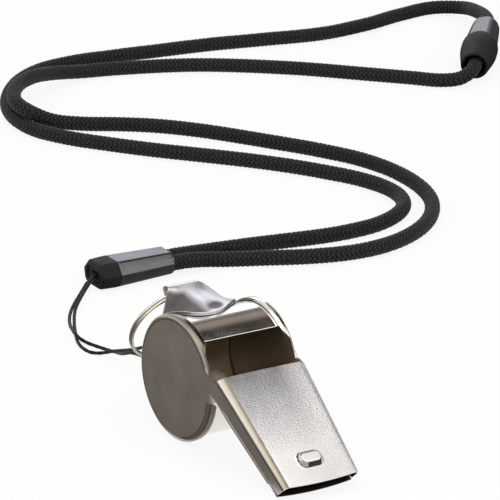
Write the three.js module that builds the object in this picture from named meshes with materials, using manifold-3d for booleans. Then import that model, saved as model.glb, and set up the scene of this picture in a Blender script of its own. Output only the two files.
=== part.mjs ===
// Sheet-metal pea whistle on a neck lanyard, lying on a table: millimetres, +Z up.
// The whistle rests on its barrel and on the tip of its mouthpiece, which points along +X.
import * as THREE from 'three';
import { mergeVertices } from 'three/addons/utils/BufferGeometryUtils.js';
import Module from 'manifold-3d';

const wasm = await Module();
wasm.setup();

// Barrel: a bent band between two side plates whose rims are folded over it
const RIM_RADIUS = 11;
const RIM_SHEET = 0.45;
const RIM_WIDTH = 1.55;
const RIM_ROUNDING = 0.5;
const BODY_WIDTH = 18.1;
const FACE_SHEET = 0.55;
const BAND_SHEET = 0.6;
const SEAM_GAP = 0.12;
const LIP_ANGLE = 2;
const ARC_STEP = 5;

// Rim ends at the window, in the plane of the whistle's own axes
const RIM_TAPER_START = 1.9;
const RIM_TAPER_END = 5.7;
const RIM_FOOT_HEIGHT = 3.7;

// Mouthpiece: a floor in one piece with the band, two walls and a bent top plate
const PLATE_HEIGHT = 10.9;
const PLATE_SHEET = 0.6;
const PLATE_DROP = 1;
const PLATE_EDGE = 0.35;
const PLATE_CROWN = 0.12;
const PLATE_START = 8.2;
const PLATE_REACH = 31.35;
const PLATE_BEVEL_REAR = 1.28;
const PLATE_BEVEL_TIP = 0.64;
const MOUTH_STEP = 0.35;
const MOUTH_TAPER = 1.25;
const FLOOR_HEIGHT_REAR = 6.4;
const FLOOR_HEIGHT_TIP = 7.25;
const FLOOR_REACH = 30.9;
const WALL_REACH = 30.25;
const WALL_START = 5;
const WALL_SHOULDER = 1.6;
const TIP_ARC = 0.45;

// Tooth grip pressed up out of the top plate
const GRIP_PLACE = 26.75;
const GRIP_SIDE = -0.4;
const GRIP_LENGTH = 5.1;
const GRIP_WIDTH = 3.2;
const GRIP_HEIGHT = 0.75;
const GRIP_SLOPE = 0.6;
const GRIP_CORNER = 0.75;

// Tail lug: a folded sheet bridge on the back of the barrel
const LUG_SHEET = 0.55;
const LUG_BEND = 1.2;
const LUG_ANGLE = -80.5;
const LUG_REACH = 16.7;
const LUG_TONGUE_ANGLE = -30;
const LUG_TONGUE_FOLD = -50;
const LUG_HEEL_FOLD = -103;
const LUG_HEEL_ANGLE = -118;
const LUG_RIDGE_WIDTH = 6;
const LUG_RIM_GAP = 0.1;
const LUG_HEEL_WIDTH = 4.4;
const LUG_TONGUE_ARC = 3.4;
const LUG_OFFSET = -1.1;

// Split ring of two turns, hanging in the lug
const RING_RADIUS = 7.5;
const RING_WIRE = 0.45;
const RING_TURN_GAP = 0.43;
const RING_HANG_ANGLE = -115;
const RING_STEP_PLACE = 90;
const RING_STEP_SPREAD = 30;
const RING_END_SPACE = 36;

// Pea, loose in the barrel
const PEA_RADIUS = 5;
const PEA_GAP = 0.3;
const PEA_SIDE_GAP = 0.9;

// Lanyard end sleeve: its string end on the table, its heading, and its section
const SLEEVE_PLACE = [-66.46, 16.82];
const SLEEVE_HEADING = 90.1;
const SLEEVE_LENGTH = 16;
const SLEEVE_WIDTH = 7.6;
const SLEEVE_HEIGHT = 4.6;
const SLEEVE_CORNER = 1.9;
const SLEEVE_MOUTH_SCALE = 0.87;
const SLEEVE_MOUTH_WALL = 0.28;
const PLUG_LENGTH = 2.5;
const PLUG_NOSE_SCALE = 0.86;
const PLUG_RECESS_WIDTH = 4.8;
const PLUG_RECESS_HEIGHT = 2.6;
const PLUG_RECESS_DEPTH = 0.7;
const PLUG_SPIGOT = 2.2;
const PLUG_HOLE_WIDTH = 2.5;
const PLUG_HOLE_HEIGHT = 1.5;
const FIT_GAP = 0.15;
const FACE_GAP = 0.3;
const CRIMP_LENGTH = 2.5;
const KNOT_RADIUS = 1;

// Cords
const CORD_DIAMETER = 2.9;
const CORD_SIDES = 8;
const CORD_STEPS = 50;
const STRING_DIAMETER = 0.8;
const STRING_STEPS = 60;

// Breakaway clasp: mouth of its socket, heading, rise and turned sections
const CLASP_PLACE = [-131, 149.9, 3.42];
const CLASP_HEADING = 137.3;
const CLASP_RISE = 5.4;
const SOCKET_LENGTH = 10.4;
const SOCKET_MOUTH_RADIUS = 3;
const SOCKET_RADIUS = 3.95;
const SOCKET_SHOULDER = 7.4;
const SOCKET_BORE = 2.85;
const SOCKET_MOUTH_BORE = 2.3;
const SOCKET_NECK = 2.2;
const CLASP_EDGE = 0.5;
const STOP_RADIUS = 2.45;
const STOP_LENGTH = 2.6;
const CLASP_PLUG_LENGTH = 10.9;
const CLASP_PLUG_RADIUS = 3.6;
const CLASP_PLUG_END_RADIUS = 2.6;
const PRONG_LENGTH = 2.6;
const PRONG_RADIUS = 2.5;
const CORD_BORE = 1.8;
const PLUG_STOP_RADIUS = 2.1;
const STOP_POCKET_RADIUS = 2.35;
const STOP_POCKET_START = 1.6;
const STOP_POCKET_LENGTH = 3.4;
const CLASP_FLAT_HEIGHT = 3.15;
const CLASP_FLAT_TURN = 28;
const CLASP_SEGMENTS = 32;

// Routes over the table, measured from the point under the barrel's axis.
// The front cord climbs over the rear one at the far left turn.
const FRONT_CORD_ROUTE = [
  [-64.98, 27.2, 2.3], [-64.99, 32.8, 2.3], [-65, 35.4, 2.2], [-64.7, 38.8, 1.9], [-63.5, 42.8, 1.6],
  [-61.2, 48.6, 1.55], [-57.4, 57.8, 1.55], [-55.5, 65.3, 1.55], [-55.4, 72.6, 1.55],
  [-57.2, 79.7, 1.55], [-60.9, 86.6, 1.55], [-66.2, 92.4, 1.55], [-72.8, 96.7, 1.55], [-80.4, 99, 1.55],
  [-88.6, 99.4, 1.55], [-97, 97.8, 1.55], [-105.6, 93.6, 1.55], [-116.2, 86.6, 1.55],
  [-127.7, 78.2, 1.55], [-134.2, 71.8, 1.55], [-138.6, 65.5, 1.55], [-142, 58.8, 1.7], [-144.1, 53.2, 2.6],
  [-146.2, 49.6, 4.2], [-150.5, 48.7, 4.95], [-155.4, 50.6, 5.1], [-160.8, 55, 5.1], [-165.4, 61.6, 4.5],
  [-168.8, 68.6, 3.1], [-170.2, 76, 1.9], [-169.3, 84.5, 1.55], [-163.6, 100.6, 1.55], [-152.7, 117.3, 1.55],
  [-141.6, 129.8, 1.55], [-135.4, 136.6, 1.55], [-131, 141.2, 1.6], [-129.2, 144.6, 2], [-129.4, 147.5, 2.8],
  [-131, 149.9, 3.42], [-133.2, 151.9, 3.7],
];
const REAR_CORD_ROUTE = [
  [-67.98, 27.2, 2.3], [-67.99, 32.8, 2.3], [-68.2, 35.6, 2.2], [-68.7, 41, 1.7], [-68.1, 48.6, 1.55],
  [-66.7, 57.2, 1.55], [-65.4, 64.7, 1.55], [-64.9, 71.8, 1.55], [-65.5, 78.5, 1.55], [-67.7, 84.5, 1.55],
  [-71.4, 89.3, 1.55], [-76.4, 92, 1.55], [-82.2, 92.4, 1.55], [-88.2, 90.7, 1.55], [-95, 86.9, 1.55],
  [-101.9, 82.1, 1.55], [-108.4, 76.6, 1.55], [-115.1, 70.2, 1.55], [-121.8, 63.7, 1.55], [-128.8, 57.7, 1.55],
  [-135.7, 52.4, 1.55], [-142.6, 49, 1.55], [-150, 48.5, 1.55], [-157.8, 50.7, 1.55], [-165, 55.1, 1.55],
  [-171.4, 61.2, 1.55], [-175.8, 68.7, 1.55], [-177.4, 77.5, 1.55], [-176.8, 87.6, 1.55], [-175.6, 98.6, 1.55],
  [-174.2, 110.6, 1.55], [-171.6, 124, 1.55], [-169.4, 136.6, 1.55], [-170.4, 149.3, 1.55], [-172.8, 160.4, 1.55],
  [-173.1, 169.4, 1.75], [-168.4, 173.6, 2.5], [-160.2, 171.8, 4.2], [-150.2, 167.3, 5.6], [-144.3, 162.2, 5.14],
];
const STRING_ROUTE = [
  [-67.02, 21.5, 2.3], [-67.01, 16.8, 2.3], [-66.6, 14.9, 2.2], [-64.6, 12.8, 1.9], [-61, 9.2, 1.1],
  [-57.2, 5.5, 0.5], [-52.6, 2.5, 0.45], [-47.8, 0.4, 0.45], [-45, -0.1, 0.45], [-42.4, -0.1, 0.45],
  [-39.2, 0.4, 0.65], [-34.7, 0.5, 1.7], [-30.2, 0, 3.5], [-26, -0.7, 5.35], [-22, -1.1, 7.3],
  [-19.2, -1.1, 8.6], [-17.8, -1.1, 9.15], [-16.5, -1.1, 9.05], [-15.7, -1.1, 8.08], [-15.85, -1.1, 6.8],
  [-16.9, -1.1, 6.05], [-19, -1.1, 5.7], [-22, -1.1, 5.05], [-26, -1.1, 3.9], [-30, -1.1, 2.5],
  [-33.6, -1.1, 1.45], [-36.4, -1.4, 0.75], [-39.2, -1.8, 0.5], [-42, -1.9, 0.9], [-44.4, -1.4, 1.5],
  [-46.6, 0.2, 1.75], [-50.6, 3.1, 1.15], [-55.8, 6.7, 0.75], [-59.9, 10.4, 1.3], [-63.4, 13.8, 2.1],
  [-65.4, 15.3, 2.3], [-65.91, 16.8, 2.3], [-65.92, 21.5, 2.3],
];

// Derived places
const degrees = THREE.MathUtils.degToRad;
const bandRadius = RIM_RADIUS - RIM_SHEET - SEAM_GAP;
const bandBore = bandRadius - BAND_SHEET;
const faceInside = BODY_WIDTH / 2 - FACE_SHEET;
const bandHalfWidth = faceInside - SEAM_GAP;
const mouthRear = BODY_WIDTH / 2 - MOUTH_STEP;
const mouthTip = mouthRear - MOUTH_TAPER;
const flatRear = mouthRear - PLATE_BEVEL_REAR;
const flatTip = mouthTip - PLATE_BEVEL_TIP;
const lugBaseHalf = BODY_WIDTH / 2 - RIM_WIDTH - LUG_RIM_GAP - Math.abs(LUG_OFFSET);
const peaSide = PEA_RADIUS + PEA_SIDE_GAP - faceInside;
const tilt = Math.asin(RIM_RADIUS / Math.hypot(FLOOR_REACH, FLOOR_HEIGHT_TIP))
  + Math.atan2(FLOOR_HEIGHT_TIP, FLOOR_REACH);

// A point of the whistle's side view, by radius and by angle from its top towards the mouthpiece
function around(radius, angle) {
  return new THREE.Vector2(radius * Math.sin(degrees(angle)), radius * Math.cos(degrees(angle)));
}

function arc(radius, from, to) {
  const count = Math.max(2, Math.round(Math.abs(to - from) / ARC_STEP));
  return Array.from({ length: count + 1 }, (_, i) => around(radius, from + ((to - from) * i) / count));
}

// Half the mouthpiece's outside width at a distance along it
function mouthHalf(x) {
  const share = (x - PLATE_START) / (PLATE_REACH - PLATE_START);
  return mouthRear - MOUTH_TAPER * share;
}

const neckStart = Math.sqrt(bandRadius ** 2 - FLOOR_HEIGHT_REAR ** 2);
const neckAngle = THREE.MathUtils.radToDeg(Math.atan2(neckStart, FLOOR_HEIGHT_REAR));

function floorHeight(x) {
  const share = (x - neckStart) / (FLOOR_REACH - neckStart);
  return FLOOR_HEIGHT_REAR + (FLOOR_HEIGHT_TIP - FLOOR_HEIGHT_REAR) * share;
}

// A geometry with its faces turned outwards and its equal points joined
function closed(geometry) {
  const bare = new THREE.BufferGeometry();
  bare.setAttribute('position', geometry.getAttribute('position').clone());
  if (geometry.index) bare.setIndex(geometry.index.clone());
  const joined = mergeVertices(bare, 1e-4);
  const place = joined.getAttribute('position');
  const corner = [new THREE.Vector3(), new THREE.Vector3(), new THREE.Vector3()];
  let volume = 0;
  const faces = [];
  for (let i = 0; i < joined.index.count; i += 3) {
    const face = [0, 1, 2].map((k) => joined.index.getX(i + k));
    if (new Set(face).size < 3) continue;
    face.forEach((index, k) => corner[k].fromBufferAttribute(place, index));
    volume += corner[0].dot(corner[1].clone().cross(corner[2]));
    faces.push(face);
  }
  joined.setIndex(faces.flatMap(([a, b, c]) => (volume > 0 ? [a, b, c] : [a, c, b])));
  return joined;
}

function solid(geometry) {
  const body = closed(geometry);
  return new wasm.Manifold(new wasm.Mesh({
    numProp: 3,
    vertProperties: Float32Array.from(body.getAttribute('position').array),
    triVerts: Uint32Array.from(body.index.array),
  }));
}

function surface(manifold) {
  const mesh = manifold.getMesh();
  const geometry = new THREE.BufferGeometry();
  geometry.setAttribute('position', new THREE.BufferAttribute(Float32Array.from(mesh.vertProperties), 3));
  geometry.setIndex(Array.from(mesh.triVerts));
  return geometry;
}

// Outlines drawn in side view and run across the body, drawn in plan and run upwards
function across(shape, from, to) {
  const geometry = new THREE.ExtrudeGeometry(shape, { depth: to - from, bevelEnabled: false, curveSegments: 12 });
  return geometry.rotateX(Math.PI / 2).translate(0, to, 0);
}

function upwards(shape, from, to) {
  return new THREE.ExtrudeGeometry(shape, { depth: to - from, bevelEnabled: false }).translate(0, 0, from);
}

function outline(points) {
  return new THREE.Shape(points.map(([x, y]) => new THREE.Vector2(x, y)));
}

// The section of a bent sheet, from the points of its middle line
function sheetSection(points, thickness) {
  const sides = [[], []];
  points.forEach((point, i) => {
    const before = points[Math.max(i - 1, 0)];
    const after = points[Math.min(i + 1, points.length - 1)];
    const normals = [[before, point], [point, after]]
      .filter(([a, b]) => a !== b)
      .map(([a, b]) => new THREE.Vector2(a.y - b.y, b.x - a.x).normalize());
    const middle = normals.reduce((sum, n) => sum.add(n), new THREE.Vector2()).normalize();
    const reach = thickness / 2 / middle.dot(normals[0].clone().normalize());
    sides[0].push(point.clone().addScaledVector(middle, normals.length > 1 ? reach : thickness / 2));
    sides[1].push(point.clone().addScaledVector(middle, normals.length > 1 ? -reach : -thickness / 2));
  });
  return new THREE.Shape([...sides[0], ...sides[1].reverse()]);
}

// Materials
const nickel = () => new THREE.MeshStandardMaterial({ color: 0xc9c4ba, roughness: 0.22, metalness: 1 });
const satinNickel = () => new THREE.MeshStandardMaterial({ color: 0x9a928a, roughness: 0.42, metalness: 1 });
const grainedNickel = () => new THREE.MeshStandardMaterial({ color: 0xd6d2cb, roughness: 0.34, metalness: 1 });
const cork = () => new THREE.MeshStandardMaterial({ color: 0xa98d6a, roughness: 0.9, metalness: 0 });
const glossBlack = () => new THREE.MeshStandardMaterial({ color: 0x17171a, roughness: 0.28, metalness: 0 });
const matteBlack = () => new THREE.MeshStandardMaterial({ color: 0x1d1d1f, roughness: 0.62, metalness: 0 });
const blackBraid = () => new THREE.MeshStandardMaterial({ color: 0x141416, roughness: 0.85, metalness: 0 });

function piece(name, geometry, material) {
  const mesh = new THREE.Mesh(closed(geometry), material);
  mesh.geometry.computeVertexNormals();
  mesh.name = name;
  return mesh;
}

// Barrel band with the mouthpiece floor, one strip bent from the window's lip to the tip
function barrelBand() {
  const middle = bandRadius - BAND_SHEET / 2;
  const strip = [
    ...arc(middle, LIP_ANGLE, neckAngle - 360),
    new THREE.Vector2(FLOOR_REACH, FLOOR_HEIGHT_TIP + BAND_SHEET / 2),
  ];
  let band = solid(across(sheetSection(strip, BAND_SHEET), -bandHalfWidth, bandHalfWidth));
  const trimStart = PLATE_START;
  const outside = BODY_WIDTH;
  for (const side of [-1, 1]) {
    const half = mouthHalf(FLOOR_REACH);
    const tip = [1, 0.75, 0.5, 0.25, 0].map((share) => [FLOOR_REACH - TIP_ARC * share ** 2, side * half * share]);
    const trim = outline([
      [trimStart, side * mouthHalf(trimStart)], ...tip,
      [FLOOR_REACH + outside, 0], [FLOOR_REACH + outside, side * outside], [trimStart, side * outside],
    ]);
    const low = FLOOR_HEIGHT_REAR - BAND_SHEET;
    band = band.subtract(solid(upwards(trim, low, PLATE_HEIGHT)));
  }
  return surface(band);
}

// Side plate: a dished disc with its rim folded inwards, running on as the mouthpiece's wall
function sidePlate(side) {
  const face = -BODY_WIDTH / 2;
  const rounding = Array.from({ length: 5 }, (_, i) => {
    const turn = (Math.PI / 2) * (i / 4);
    const centre = [RIM_RADIUS - RIM_ROUNDING, face + RIM_ROUNDING];
    return new THREE.Vector2(
      centre[0] + RIM_ROUNDING * Math.sin(turn),
      centre[1] - RIM_ROUNDING * Math.cos(turn),
    );
  });
  const dish = new THREE.LatheGeometry([
    new THREE.Vector2(0, face), ...rounding,
    new THREE.Vector2(RIM_RADIUS, face + RIM_WIDTH),
    new THREE.Vector2(RIM_RADIUS - RIM_SHEET, face + RIM_WIDTH),
    new THREE.Vector2(RIM_RADIUS - RIM_SHEET, face + FACE_SHEET),
    new THREE.Vector2(0, face + FACE_SHEET),
  ], 360 / ARC_STEP);
  const window = outline([
    [RIM_TAPER_START, face + RIM_WIDTH + SEAM_GAP],
    [RIM_TAPER_START, face + RIM_WIDTH - SEAM_GAP],
    [RIM_TAPER_END, face + FACE_SHEET],
    [RIM_RADIUS * 2, face + FACE_SHEET],
    [RIM_RADIUS * 2, face + RIM_WIDTH + SEAM_GAP],
  ]);
  const wallTop = PLATE_HEIGHT - PLATE_DROP - SEAM_GAP;
  const wallFoot = (x) => floorHeight(x) + BAND_SHEET + SEAM_GAP;
  const wall = across(outline([
    [WALL_START, wallFoot(WALL_START) + WALL_SHOULDER / 2], [neckStart, wallFoot(neckStart)],
    [WALL_REACH, wallFoot(WALL_REACH)], [WALL_REACH, wallTop],
    [PLATE_START, wallTop], [WALL_START, wallTop - WALL_SHOULDER],
  ]), 0, FACE_SHEET);
  const place = wall.getAttribute('position');
  for (let i = 0; i < place.count; i += 1) place.setY(i, place.getY(i) - mouthHalf(place.getX(i)));
  const plate = solid(dish)
    .subtract(solid(upwards(window, RIM_FOOT_HEIGHT, RIM_RADIUS * 2)))
    .add(solid(wall));
  return surface(plate).scale(1, side, 1);
}

// Top plate: a crowned channel that tapers to the tip, with the tooth grip pressed up in it
function mouthpieceTop() {
  const crown = (y) => PLATE_HEIGHT - PLATE_CROWN * (y / flatRear) ** 2;
  const shares = [-1, -0.75, -0.5, -0.25, 0, 0.25, 0.5, 0.75, 1];
  const low = PLATE_HEIGHT - PLATE_DROP;
  const edge = low + PLATE_EDGE;
  const inner = mouthRear - PLATE_SHEET;
  const section = outline([
    [-mouthRear, low], [-mouthRear, edge],
    ...shares.map((s) => [s * flatRear, crown(s * flatRear)]),
    [mouthRear, edge], [mouthRear, low],
    [inner, low], [inner, edge - PLATE_SHEET / 2],
    ...shares.map((s) => [-s * (flatRear - PLATE_SHEET / 2), crown(s * flatRear) - PLATE_SHEET]),
    [-inner, edge - PLATE_SHEET / 2], [-inner, low],
  ]);
  const length = PLATE_REACH - PLATE_START;
  const plate = new THREE.ExtrudeGeometry(section, { depth: length, steps: 4, bevelEnabled: false });
  plate.applyMatrix4(new THREE.Matrix4().makeBasis(
    new THREE.Vector3(0, 1, 0), new THREE.Vector3(0, 0, 1), new THREE.Vector3(1, 0, 0),
  ));
  const place = plate.getAttribute('position');
  for (let i = 0; i < place.count; i += 1) {
    const along = place.getX(i) / length;
    const y = place.getY(i);
    const onFlat = Math.min(Math.abs(y), flatRear) * (1 + (flatTip / flatRear - 1) * along);
    const onBevel = Math.max(Math.abs(y) - flatRear, 0) * (1 + (PLATE_BEVEL_TIP / PLATE_BEVEL_REAR - 1) * along);
    place.setY(i, Math.sign(y) * (onFlat + onBevel));
    place.setX(i, PLATE_START + place.getX(i) - TIP_ARC * along * (y / mouthRear) ** 2);
  }
  const gripTop = roundedRectangle(GRIP_WIDTH - 2 * GRIP_SLOPE, GRIP_LENGTH - 2 * GRIP_SLOPE, GRIP_CORNER);
  const grip = new THREE.ExtrudeGeometry(gripTop, {
    depth: PLATE_SHEET / 2, bevelThickness: GRIP_HEIGHT, bevelSize: GRIP_SLOPE, bevelSegments: 3, curveSegments: 6,
  }).translate(GRIP_PLACE, GRIP_SIDE, PLATE_HEIGHT - PLATE_CROWN - PLATE_SHEET / 2);
  const under = new THREE.BoxGeometry(GRIP_WIDTH * 2, GRIP_LENGTH * 2, GRIP_HEIGHT * 2)
    .translate(GRIP_PLACE, GRIP_SIDE, PLATE_HEIGHT - PLATE_SHEET / 2 - GRIP_HEIGHT);
  return surface(solid(plate).add(solid(grip).subtract(solid(under))));
}

// The tail lug's fold: the centre of its bend and the points where its legs leave the bend
const lugBend = around(LUG_REACH - LUG_SHEET - LUG_BEND, LUG_ANGLE);

function leaving(centre, radius, point, side) {
  const away = point.clone().sub(centre);
  const swing = side * Math.acos(radius / away.length());
  return centre.clone().add(away.setLength(radius).rotateAround(new THREE.Vector2(), swing));
}

function tailLug() {
  const foot = bandRadius + SEAM_GAP + LUG_SHEET / 2;
  const bend = LUG_BEND + LUG_SHEET / 2;
  const tongue = arc(foot, LUG_TONGUE_ANGLE, LUG_TONGUE_FOLD);
  const heel = arc(foot, LUG_HEEL_FOLD, LUG_HEEL_ANGLE);
  const front = leaving(lugBend, bend, tongue[tongue.length - 1], 1);
  const rear = leaving(lugBend, bend, heel[0], -1);
  const from = front.clone().sub(lugBend).angle();
  const to = rear.clone().sub(lugBend).angle();
  const ridge = Array.from({ length: 7 }, (_, i) => {
    const turn = from + ((to - from) * i) / 6;
    return lugBend.clone().add(new THREE.Vector2(Math.cos(turn), Math.sin(turn)).multiplyScalar(bend));
  });
  const middle = [...tongue, ...ridge, ...heel];
  const sheet = solid(across(sheetSection(middle, LUG_SHEET), -BODY_WIDTH / 2, BODY_WIDTH / 2));
  const ridgeHalf = LUG_RIDGE_WIDTH / 2;
  const foldX = tongue[tongue.length - 1].x;
  const ridgeX = lugBend.x - LUG_BEND - LUG_SHEET;
  const tongueTip = tongue[0].x;
  const tongueEdge = Array.from({ length: 13 }, (_, i) => 1 - i / 6)
    .map((s) => [tongueTip - LUG_TONGUE_ARC * s ** 2, LUG_OFFSET + s * lugBaseHalf]);
  const plan = outline([
    [ridgeX - LUG_SHEET, LUG_OFFSET - ridgeHalf], [ridgeX - LUG_SHEET, LUG_OFFSET + ridgeHalf],
    [lugBend.x, LUG_OFFSET + ridgeHalf], [Math.min(foldX, tongueEdge[0][0]), LUG_OFFSET + lugBaseHalf],
    ...tongueEdge,
    [Math.min(foldX, tongueEdge[0][0]), LUG_OFFSET - lugBaseHalf], [lugBend.x, LUG_OFFSET - ridgeHalf],
  ].filter(([x, y], i, all) => i === 0 || Math.hypot(x - all[i - 1][0], y - all[i - 1][1]) > 1e-6));
  let lug = sheet.intersect(solid(upwards(plan, -LUG_REACH, LUG_REACH)));
  for (const side of [-1, 1]) {
    const depth = LUG_REACH * 2;
    const waste = new THREE.BoxGeometry(depth, BODY_WIDTH, depth).translate(
      -LUG_REACH - 0.5,
      LUG_OFFSET + side * (LUG_HEEL_WIDTH + BODY_WIDTH) / 2,
      lugBend.y - LUG_BEND / 2 - depth / 2,
    );
    lug = lug.subtract(solid(waste));
  }
  return surface(lug);
}

// Split ring: one wire of two turns that steps from one turn to the next.
// It swings about the centre of the lug's bend.
class RingWire extends THREE.Curve {
  getPoint(t) {
    const first = RING_STEP_PLACE + RING_END_SPACE;
    const angle = first + t * (720 - 2 * RING_END_SPACE);
    const step = THREE.MathUtils.smoothstep(
      angle,
      RING_STEP_PLACE + 360 - RING_STEP_SPREAD,
      RING_STEP_PLACE + 360 + RING_STEP_SPREAD,
    );
    const offset = (RING_WIRE + RING_TURN_GAP) * (step - 0.5);
    const hang = degrees(RING_HANG_ANGLE) + tilt;
    const down = new THREE.Vector3(Math.cos(hang), 0, Math.sin(hang));
    const normal = new THREE.Vector3(-down.z, 0, down.x);
    return new THREE.Vector3(lugBend.x, LUG_OFFSET, lugBend.y)
      .addScaledVector(down, RING_RADIUS * (1 - Math.cos(degrees(angle))))
      .addScaledVector(normal, offset)
      .add(new THREE.Vector3(0, RING_RADIUS * Math.sin(degrees(angle)), 0));
  }
}

function leastTurnGap(curve, wire, spread) {
  const points = curve.getSpacedPoints(240);
  let least = Infinity;
  points.forEach((a, i) => points.slice(i + spread).forEach((b) => {
    least = Math.min(least, a.distanceTo(b) - wire);
  }));
  return least;
}

function roundSection(radius, sides) {
  return new THREE.Shape(Array.from({ length: sides }, (_, i) => {
    const turn = ((i + 0.5) / sides) * Math.PI * 2;
    return new THREE.Vector2(radius * Math.cos(turn), radius * Math.sin(turn));
  }));
}

function tube(curve, diameter, sides, steps) {
  return new THREE.ExtrudeGeometry(roundSection(diameter / 2, sides), { extrudePath: curve, steps });
}

function route(points) {
  return new THREE.CatmullRomCurve3(points.map(([x, y, z]) => new THREE.Vector3(x, y, z)), false, 'centripetal');
}

// Sleeve section: a rectangle with round corners, run along the sleeve
function roundedRectangle(width, height, corner) {
  const shape = new THREE.Shape();
  const x = width / 2;
  const y = height / 2;
  const r = Math.min(corner, y - 0.05);
  shape.absarc(x - r, y - r, r, 0, Math.PI / 2);
  shape.absarc(-x + r, y - r, r, Math.PI / 2, Math.PI);
  shape.absarc(-x + r, -y + r, r, Math.PI, Math.PI * 1.5);
  shape.absarc(x - r, -y + r, r, Math.PI * 1.5, Math.PI * 2);
  return shape;
}

function along(shape, from, to, steps = 1) {
  const geometry = new THREE.ExtrudeGeometry(shape, {
    depth: to - from, steps, bevelEnabled: false, curveSegments: 6,
  });
  return geometry.applyMatrix4(new THREE.Matrix4().makeBasis(
    new THREE.Vector3(0, 1, 0), new THREE.Vector3(0, 0, 1), new THREE.Vector3(1, 0, 0),
  )).translate(from, 0, 0);
}

// Narrows a geometry's section along X by a factor of its place
function narrowed(geometry, factor) {
  const place = geometry.getAttribute('position');
  for (let i = 0; i < place.count; i += 1) {
    const share = factor(place.getX(i));
    place.setY(i, place.getY(i) * share);
    place.setZ(i, place.getZ(i) * share);
  }
  return geometry;
}

const cavityWidth = SLEEVE_WIDTH * SLEEVE_MOUTH_SCALE - 2 * SLEEVE_MOUTH_WALL;
const cavityHeight = SLEEVE_HEIGHT * SLEEVE_MOUTH_SCALE - 2 * SLEEVE_MOUTH_WALL;
const cavityCorner = SLEEVE_CORNER * SLEEVE_MOUTH_SCALE - SLEEVE_MOUTH_WALL;
const shellStart = PLUG_LENGTH + SEAM_GAP;

function sleeveShell() {
  const outer = narrowed(
    along(roundedRectangle(SLEEVE_WIDTH, SLEEVE_HEIGHT, SLEEVE_CORNER), shellStart, SLEEVE_LENGTH, 6),
    (x) => 1 - (1 - SLEEVE_MOUTH_SCALE) * ((x - shellStart) / (SLEEVE_LENGTH - shellStart)),
  );
  const section = roundedRectangle(cavityWidth, cavityHeight, cavityCorner);
  const cavity = along(section, shellStart - FACE_GAP, SLEEVE_LENGTH + FACE_GAP);
  return surface(solid(outer).subtract(solid(cavity)));
}

function sleeveEndPlug() {
  const nose = narrowed(
    along(roundedRectangle(SLEEVE_WIDTH, SLEEVE_HEIGHT, SLEEVE_CORNER), 0, PLUG_LENGTH, 6),
    (x) => PLUG_NOSE_SCALE + (1 - PLUG_NOSE_SCALE) * Math.sin((Math.PI / 2) * (x / PLUG_LENGTH)),
  );
  const spigotSection = roundedRectangle(cavityWidth - 2 * FIT_GAP, cavityHeight - 2 * FIT_GAP, cavityCorner);
  const spigot = along(spigotSection, PLUG_LENGTH * 0.6, PLUG_LENGTH + PLUG_SPIGOT);
  const hole = along(
    roundedRectangle(PLUG_HOLE_WIDTH, PLUG_HOLE_HEIGHT, PLUG_HOLE_HEIGHT / 4),
    -PLUG_SPIGOT,
    PLUG_LENGTH + PLUG_SPIGOT * 2,
  );
  const recess = along(
    roundedRectangle(PLUG_RECESS_WIDTH, PLUG_RECESS_HEIGHT, PLUG_RECESS_HEIGHT / 4),
    -PLUG_RECESS_DEPTH,
    PLUG_RECESS_DEPTH,
  );
  return surface(solid(nose).add(solid(spigot)).subtract(solid(hole)).subtract(solid(recess)));
}

const knotPlace = PLUG_LENGTH + PLUG_SPIGOT + FACE_GAP + KNOT_RADIUS;
const crimpStart = knotPlace + KNOT_RADIUS + FACE_GAP;

function cordCrimp() {
  const section = roundedRectangle(cavityWidth - 2 * FIT_GAP, cavityHeight - 2 * FIT_GAP, cavityCorner);
  return along(section, crimpStart, crimpStart + CRIMP_LENGTH);
}

function loopKnot() {
  return new THREE.IcosahedronGeometry(KNOT_RADIUS, 2).translate(knotPlace, 0, 0);
}

// Clasp pieces, turned about the clasp's axis (local Y), measured from the socket's mouth
function turned(points) {
  return new THREE.LatheGeometry(points.map(([r, y]) => new THREE.Vector2(r, y)), CLASP_SEGMENTS);
}

function claspSocket() {
  return turned([
    [SOCKET_MOUTH_BORE, 0], [SOCKET_MOUTH_RADIUS - CLASP_EDGE, 0], [SOCKET_MOUTH_RADIUS, CLASP_EDGE],
    [SOCKET_RADIUS - CLASP_EDGE / 4, SOCKET_SHOULDER - CLASP_EDGE * 2], [SOCKET_RADIUS, SOCKET_SHOULDER],
    [SOCKET_RADIUS, SOCKET_LENGTH - CLASP_EDGE], [SOCKET_RADIUS - CLASP_EDGE, SOCKET_LENGTH],
    [SOCKET_BORE, SOCKET_LENGTH], [SOCKET_BORE, SOCKET_NECK], [SOCKET_MOUTH_BORE, SOCKET_NECK - CLASP_EDGE],
    [SOCKET_MOUTH_BORE, 0],
  ]);
}

const jointPlace = SOCKET_LENGTH + SEAM_GAP;

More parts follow.
